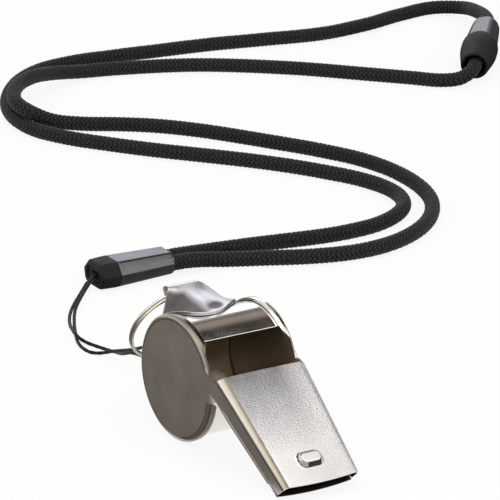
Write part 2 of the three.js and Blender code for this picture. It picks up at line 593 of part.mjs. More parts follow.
function claspPlug() {
  const end = jointPlace + CLASP_PLUG_LENGTH;
  const pocket = jointPlace + STOP_POCKET_START;
  const body = solid(turned([
    [0, jointPlace - PRONG_LENGTH], [PRONG_RADIUS - CLASP_EDGE, jointPlace - PRONG_LENGTH],
    [PRONG_RADIUS, jointPlace - PRONG_LENGTH + CLASP_EDGE], [PRONG_RADIUS, jointPlace],
    [CLASP_PLUG_RADIUS - CLASP_EDGE / 2, jointPlace], [CLASP_PLUG_RADIUS, jointPlace + CLASP_EDGE],
    [CLASP_PLUG_END_RADIUS + CLASP_EDGE, end - CLASP_EDGE * 2], [CLASP_PLUG_END_RADIUS, end],
    [CORD_BORE, end], [CORD_BORE, pocket + STOP_POCKET_LENGTH],
    [STOP_POCKET_RADIUS, pocket + STOP_POCKET_LENGTH - CLASP_EDGE], [STOP_POCKET_RADIUS, pocket], [0, pocket],
  ]));
  const size = CLASP_PLUG_LENGTH * 2;
  const flat = new THREE.BoxGeometry(size, size, size)
    .translate(0, size / 2, size / 2)
    .rotateX(-Math.atan2(CLASP_PLUG_RADIUS - CLASP_PLUG_END_RADIUS, CLASP_PLUG_LENGTH))
    .translate(0, jointPlace + CLASP_EDGE * 2, CLASP_FLAT_HEIGHT)
    .rotateY(degrees(CLASP_FLAT_TURN));
  return surface(body.subtract(solid(flat)));
}

// Cord stop: a crimped bead that can't pass the bore the cord comes through
function cordStop(radius, from, to) {
  return turned([
    [0, from], [radius - CLASP_EDGE, from], [radius, from + CLASP_EDGE],
    [radius, to - CLASP_EDGE], [radius - CLASP_EDGE, to], [0, to],
  ]);
}

// Assembly
const whistle = new THREE.Group();
whistle.rotation.y = tilt;
whistle.position.z = RIM_RADIUS;
const ringCurve = new RingWire();
whistle.add(
  piece('barrel_band', barrelBand(), nickel()),
  piece('left_side_plate', sidePlate(1), satinNickel()),
  piece('right_side_plate', sidePlate(-1), satinNickel()),
  piece('mouthpiece_top', mouthpieceTop(), grainedNickel()),
  piece('tail_lug', tailLug(), nickel()),
  piece('split_ring', tube(ringCurve, RING_WIRE, CORD_SIDES, 64), nickel()),
);
console.log('least gap between the ring turns', leastTurnGap(ringCurve, RING_WIRE, 60).toFixed(2), 'mm');

const peaOrbit = bandBore - PEA_GAP - PEA_RADIUS;
const pea = piece('pea', new THREE.IcosahedronGeometry(PEA_RADIUS, 4), cork());
pea.position.set(0, peaSide, RIM_RADIUS - peaOrbit);

const sleeve = new THREE.Group();
sleeve.position.set(SLEEVE_PLACE[0], SLEEVE_PLACE[1], SLEEVE_HEIGHT / 2);
sleeve.rotation.z = degrees(SLEEVE_HEADING);
sleeve.add(
  piece('sleeve_shell', sleeveShell(), glossBlack()),
  piece('sleeve_end_plug', sleeveEndPlug(), matteBlack()),
  piece('cord_crimp', cordCrimp(), nickel()),
  piece('loop_knot', loopKnot(), blackBraid()),
);

const clasp = new THREE.Group();
const claspAxis = new THREE.Vector3(
  Math.cos(degrees(CLASP_HEADING)) * Math.cos(degrees(CLASP_RISE)),
  Math.sin(degrees(CLASP_HEADING)) * Math.cos(degrees(CLASP_RISE)),
  Math.sin(degrees(CLASP_RISE)),
);
const claspSide = claspAxis.clone().cross(new THREE.Vector3(0, 0, 1)).normalize();
clasp.quaternion.setFromRotationMatrix(
  new THREE.Matrix4().makeBasis(claspSide, claspAxis, claspSide.clone().cross(claspAxis)),
);
clasp.position.set(...CLASP_PLACE);
const socketStop = SOCKET_LENGTH - PRONG_LENGTH - FACE_GAP;
const plugStop = jointPlace + STOP_POCKET_START + FACE_GAP;
clasp.add(
  piece('clasp_socket', claspSocket(), matteBlack()),
  piece('clasp_plug', claspPlug(), glossBlack()),
  piece('socket_cord_stop', cordStop(STOP_RADIUS, socketStop - STOP_LENGTH, socketStop), matteBlack()),
  piece('plug_cord_stop', cordStop(PLUG_STOP_RADIUS, plugStop, plugStop + STOP_LENGTH), matteBlack()),
);

const cords = [
  piece('loop_cord', tube(route(STRING_ROUTE), STRING_DIAMETER, CORD_SIDES, STRING_STEPS), blackBraid()),
  piece('neck_cord_front', tube(route(FRONT_CORD_ROUTE), CORD_DIAMETER, CORD_SIDES, CORD_STEPS), blackBraid()),
  piece('neck_cord_rear', tube(route(REAR_CORD_ROUTE), CORD_DIAMETER, CORD_SIDES, CORD_STEPS), blackBraid()),
];

const lanyardWhistle = new THREE.Group();
lanyardWhistle.add(whistle, pea, sleeve, clasp, ...cords);

// The origin is under the middle of the whistle with its ring, at the table
const extent = new THREE.Box3().setFromObject(whistle, true);
lanyardWhistle.position.x = -(extent.min.x + extent.max.x) / 2;
console.log('barrel axis at x', lanyardWhistle.position.x.toFixed(3), 'tilt', THREE.MathUtils.radToDeg(tilt).toFixed(2));

export default lanyardWhistle;
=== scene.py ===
import bpy
import bmesh
from math import acos, asin, atan2, copysign, cos, degrees, exp, floor, hypot, pi, radians, sin, sqrt, tan, tau
from mathutils import Matrix, Vector


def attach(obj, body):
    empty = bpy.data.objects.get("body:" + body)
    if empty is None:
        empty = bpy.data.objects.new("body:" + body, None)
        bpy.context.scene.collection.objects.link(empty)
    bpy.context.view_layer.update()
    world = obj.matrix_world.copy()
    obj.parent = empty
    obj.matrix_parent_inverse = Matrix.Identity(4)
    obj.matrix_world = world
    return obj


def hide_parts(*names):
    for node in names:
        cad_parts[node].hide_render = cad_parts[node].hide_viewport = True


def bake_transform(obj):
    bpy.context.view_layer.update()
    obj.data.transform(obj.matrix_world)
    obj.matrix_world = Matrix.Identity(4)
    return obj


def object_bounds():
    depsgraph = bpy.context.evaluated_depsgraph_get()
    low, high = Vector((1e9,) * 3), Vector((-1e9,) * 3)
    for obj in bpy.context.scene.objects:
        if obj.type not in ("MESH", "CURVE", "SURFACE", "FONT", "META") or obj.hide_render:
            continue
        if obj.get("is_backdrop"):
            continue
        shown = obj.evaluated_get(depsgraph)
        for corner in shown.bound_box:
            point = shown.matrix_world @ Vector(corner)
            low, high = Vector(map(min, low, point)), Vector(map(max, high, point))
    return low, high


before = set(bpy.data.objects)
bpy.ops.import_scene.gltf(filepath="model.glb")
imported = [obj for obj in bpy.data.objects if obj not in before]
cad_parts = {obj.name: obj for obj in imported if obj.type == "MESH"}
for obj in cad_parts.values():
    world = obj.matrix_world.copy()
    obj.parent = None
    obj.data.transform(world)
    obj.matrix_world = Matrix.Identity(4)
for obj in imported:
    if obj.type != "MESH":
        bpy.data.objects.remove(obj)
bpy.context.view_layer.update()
scene = bpy.context.scene

# Camera: a long lens from the front right and above, looking down on the whistle
# with its lanyard laid out behind it on the table.
CAMERA_PLACE = (0.54058, -0.36519, 0.28265)
CAMERA_RIGHT = (0.54887, 0.83517, 0.03524)
CAMERA_UP = (-0.31490, 0.16754, 0.93423)
CAMERA_BACK = (0.77433, -0.52387, 0.35495)


def placed(name, data):
    made = bpy.data.objects.new(name, data)
    scene.collection.objects.link(made)
    return made


lens = bpy.data.cameras.new("photo_camera")
lens.sensor_width = 36
lens.lens = 302.417
lens.clip_start = 0.01
lens.clip_end = 20
camera = placed("photo_camera", lens)
camera.matrix_world = Matrix([
    (CAMERA_RIGHT[k], CAMERA_UP[k], CAMERA_BACK[k], CAMERA_PLACE[k]) for k in range(3)
] + [(0, 0, 0, 1)])
scene.camera = camera
scene.view_settings.view_transform = "Standard"

# Neck cord: two strands of round black polyester braid, sixteen yarns laid two over two.
# Each is crimped in the sleeve at one end and stopped in half of the breakaway clasp at the other.
MM = 0.001
BARREL_X = -7.134
CORD_DIAMETER = 2.9
CORD_YARNS = 8  # each way
CORD_LAY = 7.6
CORD_RELIEF = 0.34
CORD_RING_STEP = 0.17
CORD_SIDES = 48
CORD_REST = 1.55  # height of the middle of a cord that lies on the table
FRONT_STRAND = [
    (-64.98, 27.2, 2.3), (-64.99, 32.8, 2.3), (-65, 35.4, 2.2), (-64.7, 38.8, 1.9), (-63.5, 42.8, 1.6),
    (-61.2, 48.6), (-57.4, 57.8), (-55.5, 65.3), (-55.4, 72.6), (-57.2, 79.7), (-60.9, 86.6), (-66.2, 92.4),
    (-72.8, 96.7), (-80.4, 99), (-88.6, 99.4), (-97, 97.8), (-105.6, 93.6), (-116.2, 86.6), (-127.7, 78.2),
    (-134.2, 71.8), (-138.6, 65.5), (-142, 58.8, 1.7), (-144.1, 53.2, 2.6), (-146.2, 49.6, 4.2),
    (-150.5, 48.7, 4.95), (-155.4, 50.6, 5.1), (-160.8, 55, 5.1), (-165.4, 61.6, 4.5), (-168.8, 68.6, 3.1),
    (-170.2, 76, 1.9), (-169.3, 84.5), (-163.6, 100.6), (-152.7, 117.3), (-141.6, 129.8), (-135.4, 136.6),
    (-131, 141.2, 1.6), (-129.2, 144.6, 2), (-129.4, 147.5, 2.8), (-131, 149.9, 3.42), (-133.2, 151.9, 3.7),
]
REAR_STRAND = [
    (-67.98, 27.2, 2.3), (-67.99, 32.8, 2.3), (-68.2, 35.6, 2.2), (-68.7, 41, 1.7), (-68.1, 48.6),
    (-66.7, 57.2), (-65.4, 64.7), (-64.9, 71.8), (-65.5, 78.5), (-67.7, 84.5), (-71.4, 89.3), (-76.4, 92),
    (-82.2, 92.4), (-88.2, 90.7), (-95, 86.9), (-101.9, 82.1), (-108.4, 76.6), (-115.1, 70.2), (-121.8, 63.7),
    (-128.8, 57.7), (-135.7, 52.4), (-142.6, 49), (-150, 48.5), (-157.8, 50.7), (-165, 55.1), (-171.4, 61.2),
    (-175.8, 68.7), (-177.4, 77.5), (-176.8, 87.6), (-175.6, 98.6), (-174.2, 110.6), (-171.6, 124),
    (-169.4, 136.6), (-170.4, 149.3), (-172.8, 160.4), (-173.1, 169.4, 1.75), (-168.4, 173.6, 2.5),
    (-160.2, 171.8, 4.2), (-150.2, 167.3, 5.6), (-144.3, 162.2, 5.14),
]


def smooth(value, start, end):
    share = min(max((value - start) / (end - start), 0), 1)
    return share * share * (3 - 2 * share)


def on_table(point):
    return Vector(((point[0] + BARREL_X) * MM, point[1] * MM, point[2] * MM))


def laid_run(route, step):
    """Points at equal steps on the smooth line through a route, whose points without a height lie at rest."""
    stops = [Vector((*p, CORD_REST)[:3]) for p in route]
    stops = [2 * stops[0] - stops[1], *stops, 2 * stops[-1] - stops[-2]]
    dense, parts = [], 40
    for a, b, c, d in zip(stops, stops[1:], stops[2:], stops[3:]):
        ab, bc, cd = ((q - p).length ** 0.5 for p, q in ((a, b), (b, c), (c, d)))
        leave = ((b - a) / ab - (c - a) / (ab + bc) + (c - b) / bc) * bc
        reach = ((c - b) / bc - (d - b) / (bc + cd) + (d - c) / cd) * bc
        for i in range(parts):
            t = i / parts
            dense.append(
                (2 * t**3 - 3 * t**2 + 1) * b + (t**3 - 2 * t**2 + t) * leave
                + (3 * t**2 - 2 * t**3) * c + (t**3 - t**2) * reach
            )
    dense.append(stops[-2])
    places = [0.0]
    for p, q in zip(dense, dense[1:]):
        places.append(places[-1] + (q - p).length)
    count = max(2, round(places[-1] / step))
    run, k = [], 0
    for i in range(count + 1):
        want = places[-1] * i / count
        while k < len(places) - 2 and places[k + 1] < want:
            k += 1
        run.append(dense[k].lerp(dense[k + 1], (want - places[k]) / (places[k + 1] - places[k])))
    return run


def carried_frames(run):
    """Two directions across the line at each of its points, turned as little as possible."""
    side = Vector((0, 0, 1))
    frames = []
    for i in range(len(run)):
        ahead = (run[min(i + 1, len(run) - 1)] - run[max(i - 1, 0)]).normalized()
        side = (side - ahead * side.dot(ahead)).normalized()
        frames.append((side.copy(), ahead.cross(side)))
    return frames


def ring_faces(rings, sides, joined=0):
    """Faces from each ring of points to the next one, and from the last to the first where they are joined."""
    return [
        (i * sides + j, i * sides + (j + 1) % sides,
         (i + 1) % rings * sides + (j + 1) % sides, (i + 1) % rings * sides + j)
        for i in range(rings - 1 + joined) for j in range(sides)
    ]


def tube_mesh(name, run, sides, radius_at, finish, place=on_table):
    """A closed tube on the line, its radius given by the place along it and the turn round it."""
    points, yarn_shades = [], []
    travelled = 0.0
    for i, (middle, (up, over)) in enumerate(zip(run, carried_frames(run))):
        travelled += (middle - run[i - 1]).length if i else 0
        for j in range(sides):
            turn = tau * j / sides
            radius, height = radius_at(travelled, turn)
            points.append(place(middle + radius * (cos(turn) * up + sin(turn) * over)))
            yarn_shades.append(height)
    faces = ring_faces(len(run), sides)
    last = (len(run) - 1) * sides
    faces += [tuple(reversed(range(sides))), tuple(range(last, last + sides))]
    mesh = bpy.data.meshes.new(name)
    mesh.from_pydata(points, [], faces)
    # The second value of each radius is kept as a mark of painted shade, dark in the crevices between yarns.
    mesh.attributes.new("painted_yarn_shade", "FLOAT", "POINT").data.foreach_set("value", yarn_shades)
    mesh.shade_smooth()
    mesh.materials.append(finish)
    return placed(name, mesh)


def braid_radius(travelled, turn):
    """Radius of the braid, and how high the place stands on its yarn, which the colour carries as painted
    shade, dark in the crevices between yarns.
    """
    share = turn / tau
    right = CORD_YARNS * (share - travelled / CORD_LAY)
    left = CORD_YARNS * (share + travelled / CORD_LAY)
    right_on_top = (floor(right) - floor(left)) % 4 < 2
    across, running = (right, left) if right_on_top else (left, right)
    own = floor(across)
    float_start = own if right_on_top else own - 1
    bump = 1 - (2 * (across - own) - 1) ** 2
    float_place = (running - float_start) % 4 / 2
    crest = sin(pi * min(max(float_place % 1, 0.02), 0.98)) ** 0.5
    height = sqrt(max(bump, 0)) * (0.45 + 0.55 * crest)
    return CORD_DIAMETER / 2 - CORD_RELIEF * (0.75 - height), height**3


def set_inputs(node, inputs):
    """Links each input to another node's output, or sets it to a colour or a value."""
    for key, value in inputs.items():
        if isinstance(value, bpy.types.NodeSocket):
            node.id_data.links.new(value, node.inputs[key])
        else:
            node.inputs[key].default_value = (*value, 1) if isinstance(value, tuple) else value


def add_node(beside, kind, inputs=None, **settings):
    """A new node in the tree that another node or socket belongs to."""
    node = beside.id_data.nodes.new("ShaderNode" + kind)
    for setting, value in settings.items():
        setattr(node, setting, value)
    set_inputs(node, inputs or {})
    return node


def blend_colours(mask, low, high):
    ends = {"Factor": mask, "A": low, "B": high}
    return add_node(mask, "Mix", ends, data_type="RGBA").outputs["Result"]


def ranged(value, low, high, start=0, end=1):
    """Low where the value is at its start, high where it is at its end."""
    span = {"Value": value, "From Min": start, "From Max": end, "To Min": low, "To Max": high}
    return add_node(value, "MapRange", span).outputs["Result"]


def product(first, second):
    return add_node(first, "Math", {0: first, 1: second}, operation="MULTIPLY").outputs[0]


def bumped(height, strength, distance):
    relief = {"Height": height, "Strength": strength, "Distance": distance}
    return add_node(height, "Bump", relief).outputs["Normal"]


def marked(mark, mottle, low, high):
    """A mesh's own mark of painted shade, such as the shade in the crevices between its yarns, broken up by the
    mottle.
    """
    place = add_node(mottle, "Attribute", attribute_name=mark)
    return product(place.outputs["Fac"], ranged(mottle, low, high))


def own_place(beside):
    """A surface's place in its piece's own frame."""
    return add_node(beside, "TexCoord").outputs["Object"]


def mottle_group():
    """Slow and fine unevenness over a surface: a mask from 0 to 1 and a height."""
    group = bpy.data.node_groups.new("mottle", "ShaderNodeTree")
    for kind, labels in (("INPUT", ("Broad Scale", "Fine Scale")), ("OUTPUT", ("Mask", "Height"))):
        for label in labels:
            group.interface.new_socket(label, in_out=kind, socket_type="NodeSocketFloat")
    given, made = group.nodes.new("NodeGroupInput"), group.nodes.new("NodeGroupOutput")
    noises = []
    for label, detail in (("Broad Scale", 3), ("Fine Scale", 2)):
        noise = {"Vector": own_place(group), "Scale": given.outputs[label], "Detail": detail}
        noises.append(add_node(group, "TexNoise", noise).outputs["Fac"])
    broad, fine = noises
    both = {0: fine, 1: 0.45, 2: product(broad, 0.55)}
    both = add_node(group, "Math", both, operation="MULTIPLY_ADD").outputs[0]
    set_inputs(made, {"Mask": ranged(both, 0, 1, 0.3, 0.7), "Height": fine})
    return group


mottle = mottle_group()


def new_finish(name):
    finish = bpy.data.materials.new(name)
    finish.use_nodes = True
    return finish, finish.node_tree.nodes["Principled BSDF"]


def mottled_finish(name, broad, fine):
    """A new finish with its shader, and the mask and height of its mottle."""
    finish, shader = new_finish(name)
    spread = add_node(shader, "Group", {"Broad Scale": broad, "Fine Scale": fine}, node_tree=mottle)
    return finish, shader, spread.outputs["Mask"], spread.outputs["Height"]


black_braid, shader, cloud, fibres = mottled_finish("black_braid", 900, 9000)
# Painted shade: the braid is darker in the crevices between its yarns and lighter on their tops, by its yarn
# mark.
lit = marked("painted_yarn_shade", cloud, 0.45, 1)
set_inputs(shader, {
    "Base Color": blend_colours(lit, (0.0006, 0.0006, 0.0008), (0.056, 0.0545, 0.0565)),
    "Roughness": ranged(cloud, 0.55, 0.75), "Specular IOR Level": 0.12,
    "Sheen Weight": 0.3, "Sheen Roughness": 0.35, "Sheen Tint": (0.8, 0.86, 1),
    "Normal": bumped(fibres, 0.35, 0.00006),
})
front_strand = tube_mesh(
    "front_neck_strand", laid_run(FRONT_STRAND, CORD_RING_STEP), CORD_SIDES, braid_radius, black_braid,
)
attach(front_strand, "whistle")
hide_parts("neck_cord_front")
rear_strand = tube_mesh(
    "rear_neck_strand", laid_run(REAR_STRAND, CORD_RING_STEP), CORD_SIDES, braid_radius, black_braid,
)
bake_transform(rear_strand)
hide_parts("neck_cord_rear")

# String loop: a thin two-ply black string, knotted in the sleeve and doubled through the split ring.
# It lies on the table between the sleeve's end and the ring.
STRING_DIAMETER = 0.66
STRING_LAY = 1.6
STRING_RELIEF = 0.04
STRING_RING_STEP = 0.16
STRING_SIDES = 14
STRING_ROUTE = [
    (-66.13, 21.5, 2.48), (-66.13, 16.3, 2.48), (-65, 14.4, 2.2), (-64, 13.2, 1.85), (-62.5, 11.5, 1.5),
    (-60.5, 9.4, 1.15), (-58.8, 7.7, 0.85), (-57.1, 6.2, 0.6), (-55.1, 4.8, 0.42), (-52.8, 3.4, 0.38),
    (-50.4, 2, 0.38), (-47.5, 0.5, 0.38), (-43.9, -1.2, 0.38), (-41, -1.9, 0.38), (-38.7, -1.7, 0.4),
    (-37.2, -0.8, 0.6), (-35.8, -0.1, 1.15), (-34.2, 0.2, 1.85), (-30.2, 0, 3.5), (-26, -0.7, 5.35),
    (-22, -1.1, 7.3), (-19.2, -1.1, 8.6), (-17.8, -1.1, 9.15), (-16.5, -1.1, 9.05), (-15.7, -1.1, 8.08),
    (-15.85, -1.1, 6.8), (-16.9, -1.1, 6.05), (-19, -1.1, 5.7), (-22, -1.1, 5.45), (-26, -1.1, 4.75),
    (-30, -0.55, 3.05), (-35.5, 1.1, 1.15), (-37.5, 1.3, 0.65), (-39.3, 1.1, 0.42), (-41.3, 0.5, 0.38),
    (-42.9, -0.1, 0.5), (-44.2, -0.6, 0.85), (-45.8, -0.6, 1.12), (-48.1, 0.2, 0.95), (-51.3, 1.6, 0.55),
    (-54, 3.1, 0.38), (-56.1, 4.5, 0.38), (-58.1, 6.1, 0.45), (-59.9, 7.8, 0.65), (-61.6, 9.6, 0.9),
    (-63.7, 11.8, 1.2), (-65.2, 13.5, 1.55), (-65.8, 14.7, 1.9), (-66.79, 16.3, 2.48), (-66.79, 21.5, 2.48),
]


def string_radius(travelled, turn):
    """Radius of the string, and its height, which sets its painted shade: dark between the plies, and lower
    than the braid's so that the string looks darker.
    """
    ply = 0.5 + 0.5 * cos(2 * (turn - tau * travelled / STRING_LAY / 2))
    return STRING_DIAMETER / 2 - STRING_RELIEF * (1 - ply), 0.1 + 0.25 * ply


string_loop = tube_mesh(
    "string_loop", laid_run(STRING_ROUTE, STRING_RING_STEP), STRING_SIDES, string_radius, black_braid,
)
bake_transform(string_loop)
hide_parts("loop_cord")

# Barrel band: one strip of polished nickel-plated brass, from the window's lip round the barrel
# and out as the mouthpiece's floor. The side plates' rims are folded over its edges.
RIM_RADIUS = 11
BAND_RADIUS = 10.43
BAND_SHEET = 0.6
BAND_HALF = 8.38
BODY_HALF = 9.05
LIP_ANGLE = 2
FLOOR_REACH = 30.9
FLOOR_REAR = 6.4
FLOOR_TIP = 7.25
MOUTH_REAR = 8.7
MOUTH_TAPER = 1.25
PLATE_START = 8.2
PLATE_REACH = 31.35
TIP_ARC = 0.45
TIP_THINNING = 0.6
THINNING_START = 28
BAND_STEPS = 156
FLOOR_STEPS = 16
BAND_COLUMNS = 12
TILT = asin(RIM_RADIUS / hypot(FLOOR_REACH, FLOOR_TIP)) + atan2(FLOOR_TIP, FLOOR_REACH)
NECK = sqrt(BAND_RADIUS**2 - FLOOR_REAR**2)


def on_whistle(x, y, z):
    """From the whistle's own side view, with its axis at the middle, to the table."""
    return Vector((
        (BARREL_X + x * cos(TILT) + z * sin(TILT)) * MM,
        y * MM,
        (RIM_RADIUS - x * sin(TILT) + z * cos(TILT)) * MM,
    ))


def around(radius, angle):
    """A place in the side view, at an angle from straight up towards the mouthpiece."""
    return radius * sin(radians(angle)), radius * cos(radians(angle))


def mouth_half(x):
    return MOUTH_REAR - MOUTH_TAPER * (x - PLATE_START) / (PLATE_REACH - PLATE_START)


def floor_height(x):
    return FLOOR_REAR + (FLOOR_TIP - FLOOR_REAR) * (x - NECK) / (FLOOR_REACH - NECK)


def spaced(start, end, count):
    """Places from start to end in equal steps, with both ends."""
    return [start + (end - start) * i / count for i in range(count + 1)]


def thick_sheet(outer, inner):
    """Points, faces and face picks of a bent sheet: 0 on its outside, 1 on its inside, 2 on its edges."""
    rows, columns = len(outer), len(outer[0])
    points = [p for row in outer for p in row] + [p for row in inner for p in row]

    def at(side, i, j):
        return (side * rows + i) * columns + j

    faces, picks = [], []
    for i in range(rows - 1):
        for j in range(columns - 1):
            for side in (0, 1):
                faces.append((at(side, i, j), at(side, i + 1, j), at(side, i + 1, j + 1), at(side, i, j + 1)))
                picks.append(side)
    border = (
        [(i, 0) for i in range(rows)] + [(rows - 1, j) for j in range(1, columns)]
        + [(i, columns - 1) for i in range(rows - 2, -1, -1)] + [(0, j) for j in range(columns - 2, 0, -1)]
    )
    for a, b in zip(border, border[1:] + border[:1]):
        faces.append((at(0, *a), at(0, *b), at(1, *b), at(1, *a)))
        picks.append(2)
    return points, faces, picks


def shaped_piece(name, points, faces, finishes, picks=None, sharp=32, edge=0.0, marks=None):
    """A piece from its points and faces, smooth but for its sharp edges, which a small bevel rounds."""
    mesh = bpy.data.meshes.new(name)
    mesh.from_pydata(points, [], faces)
    for finish in finishes:
        mesh.materials.append(finish)
    if picks:
        mesh.polygons.foreach_set("material_index", picks)
    if marks:
        mesh.attributes.new(marks[0], "FLOAT", "POINT").data.foreach_set("value", marks[1])
    body = bmesh.new()
    body.from_mesh(mesh)
    bmesh.ops.remove_doubles(body, verts=body.verts, dist=1e-8)
    bmesh.ops.dissolve_degenerate(body, edges=body.edges, dist=1e-9)
    bmesh.ops.recalc_face_normals(body, faces=body.faces)
    body.to_mesh(mesh)
    body.free()
    mesh.shade_smooth()
    mesh.set_sharp_from_angle(angle=radians(sharp))
    made = placed(name, mesh)
    if edge:
        rounding = made.modifiers.new("worn_edges", "BEVEL")
        rounding.width = edge * MM
        rounding.segments = 2
        rounding.limit_method = "ANGLE"
        rounding.angle_limit = radians(40)
        rounding.harden_normals = True
    return made


bright_nickel, shader, cloud, grain = mottled_finish("bright_nickel", 260, 5200)
set_inputs(shader, {
    "Base Color": blend_colours(cloud, (0.72, 0.685, 0.635), (0.85, 0.825, 0.785)), "Metallic": 1,
    "Roughness": ranged(cloud, 0.07, 0.15), "Normal": bumped(grain, 0.05, 0.00002),
})
# The sheet's inside is dull and brown, with painted shade that turns it dark towards the mouthpiece's slot.
chamber_nickel, shader, cloud, grain = mottled_finish("chamber_nickel", 300, 6000)
place = add_node(shader, "SeparateXYZ", {"Vector": own_place(shader)})
slot = ranged(place.outputs["X"], 0, 1, 0.006, 0.016)
brown = blend_colours(cloud, (0.42, 0.345, 0.26), (0.58, 0.49, 0.38))
set_inputs(shader, {
    "Base Color": blend_colours(slot, brown, (0.05, 0.042, 0.034)), "Metallic": 1,
    "Roughness": ranged(cloud, 0.38, 0.55), "Normal": bumped(grain, 0.2, 0.00004),
})
outer_end = degrees(atan2(NECK, FLOOR_REAR)) - 360
floor_top = FLOOR_REAR + BAND_SHEET
band_bore = BAND_RADIUS - BAND_SHEET
inner_neck = sqrt(band_bore**2 - floor_top**2)
inner_end = degrees(atan2(inner_neck, floor_top)) - 360
stations = []
for share in spaced(0, 1, BAND_STEPS):
    stations.append((
        around(BAND_RADIUS, LIP_ANGLE + (outer_end - LIP_ANGLE) * share),
        around(band_bore, LIP_ANGLE + (inner_end - LIP_ANGLE) * share),
        0,
    ))
for share in spaced(0, 1, FLOOR_STEPS)[1:]:
    x = NECK + (FLOOR_REACH - NECK) * share
    inner_x = inner_neck + (FLOOR_REACH - inner_neck) * share
    sheet = BAND_SHEET * (1 - TIP_THINNING * smooth(inner_x, THINNING_START, FLOOR_REACH))
    stations.append(((x, floor_height(x)), (inner_x, floor_height(inner_x) + sheet), share**3))
sheets = [[], []]
for outer, inner, tip in stations:
    for sheet, (x, z) in zip(sheets, (outer, inner)):
        half = min(BAND_HALF, mouth_half(x)) if z > 0 and x > PLATE_START else BAND_HALF
        sheet.append([
            on_whistle(x - TIP_ARC * tip * s * s, s * half, z) for s in spaced(-1, 1, BAND_COLUMNS)
        ])
points, faces, picks = thick_sheet(*sheets)
barrel_band = shaped_piece(
    "polished_band", points, faces, [bright_nickel, chamber_nickel, bright_nickel], picks, edge=0.09,
)
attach(barrel_band, "whistle")
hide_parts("barrel_band")

# Side plates: satin discs of the same sheet, with rims folded over the band, running on into the
# mouthpiece's side walls. A slit lets each wall bend inwards past the disc.
FACE_SHEET = 0.55
RIM_SHEET = 0.45
RIM_WIDTH = 1.55
RIM_ROUNDING = 0.6
RIM_ROLL = 0.95
SEAM = 0.12
WALL_TOP = 9.78
WALL_REACH = 30.25
WALL_OVERRUN = 0.6
JOIN_X = 6.4
RIM_STEPS = 5
NECK_ANGLE = 60
NECK_FLANGE = 2.7
NECK_END = 66
WALL_BENT = 11
WALL_ARC_START = 24
RIM_LIP = 0.12
# Turns in degrees where the rim starts to change, is fully changed, starts back and is a plain rim again.
RIM_CUT = (5, 18, 46, 48)
RIM_FLAT = (27, 34, 47, 49)
RIM_FLANGE = (46, 49, 59.2, 60)
RIM_NOTCH = (59.2, 60, 61.4, 63.6)


def wall_foot(x):
    return floor_height(x) + BAND_SHEET + SEAM


def wall_top(x):
    join = sqrt(RIM_RADIUS**2 - JOIN_X**2)
    return join + (WALL_TOP - join) * smooth(x, JOIN_X - 0.6, PLATE_START + 0.2)


def wall_face(x, drop):
    """How far the wall's outside stands from the middle plane, from its top edge (0) to its foot (1)."""
    return BODY_HALF + (mouth_half(x) - BODY_HALF) * smooth(x, JOIN_X + 1.9 * drop, 10.4 + 1.2 * drop)


def between(value, start, full, back, end):
    return smooth(value, start, full) * (1 - smooth(value, back, end))


def rim_column(angle):
    """From the face over the folded rim to the inside, as (radius, depth) pairs."""
    turn = angle % 360
    cut = flat = flange = 0
    if turn < 180:
        cut = max(between(turn, *RIM_CUT), between(turn, *RIM_NOTCH))
        flat = between(turn, *RIM_FLAT)
        flange = between(turn, *RIM_FLANGE)
    width = RIM_WIDTH + (FACE_SHEET + 0.02 - RIM_WIDTH) * cut + (NECK_FLANGE - RIM_WIDTH) * flange
    rounding = RIM_ROUNDING + (0.05 - RIM_ROUNDING) * flat
    roll = RIM_ROLL + (0.05 - RIM_ROLL) * flat
    column = []
    for i in range(RIM_STEPS + 1):
        bend = pi / 2 * i / RIM_STEPS
        column.append((RIM_RADIUS - roll * (1 - sin(bend)), rounding * (1 - cos(bend))))
    inner = RIM_RADIUS - RIM_SHEET
    lip = min(RIM_LIP, (width - rounding) / 2)
    column += [(RIM_RADIUS, width - lip), (RIM_RADIUS - lip / 2, width)]
    return column + [(inner, width), (inner, FACE_SHEET)]


def rim_fold_shade(angle):
    """How much painted shade the rim gets from the face inwards, darkest on its strip beside the band."""
    strip = smooth(angle, 296, 322) if angle > 180 else 1 - smooth(angle, 110, 150)
    return [0.9, 0.1, 0, 0.4 * strip, 0.9 * strip, strip, strip, 0, 0, 0]


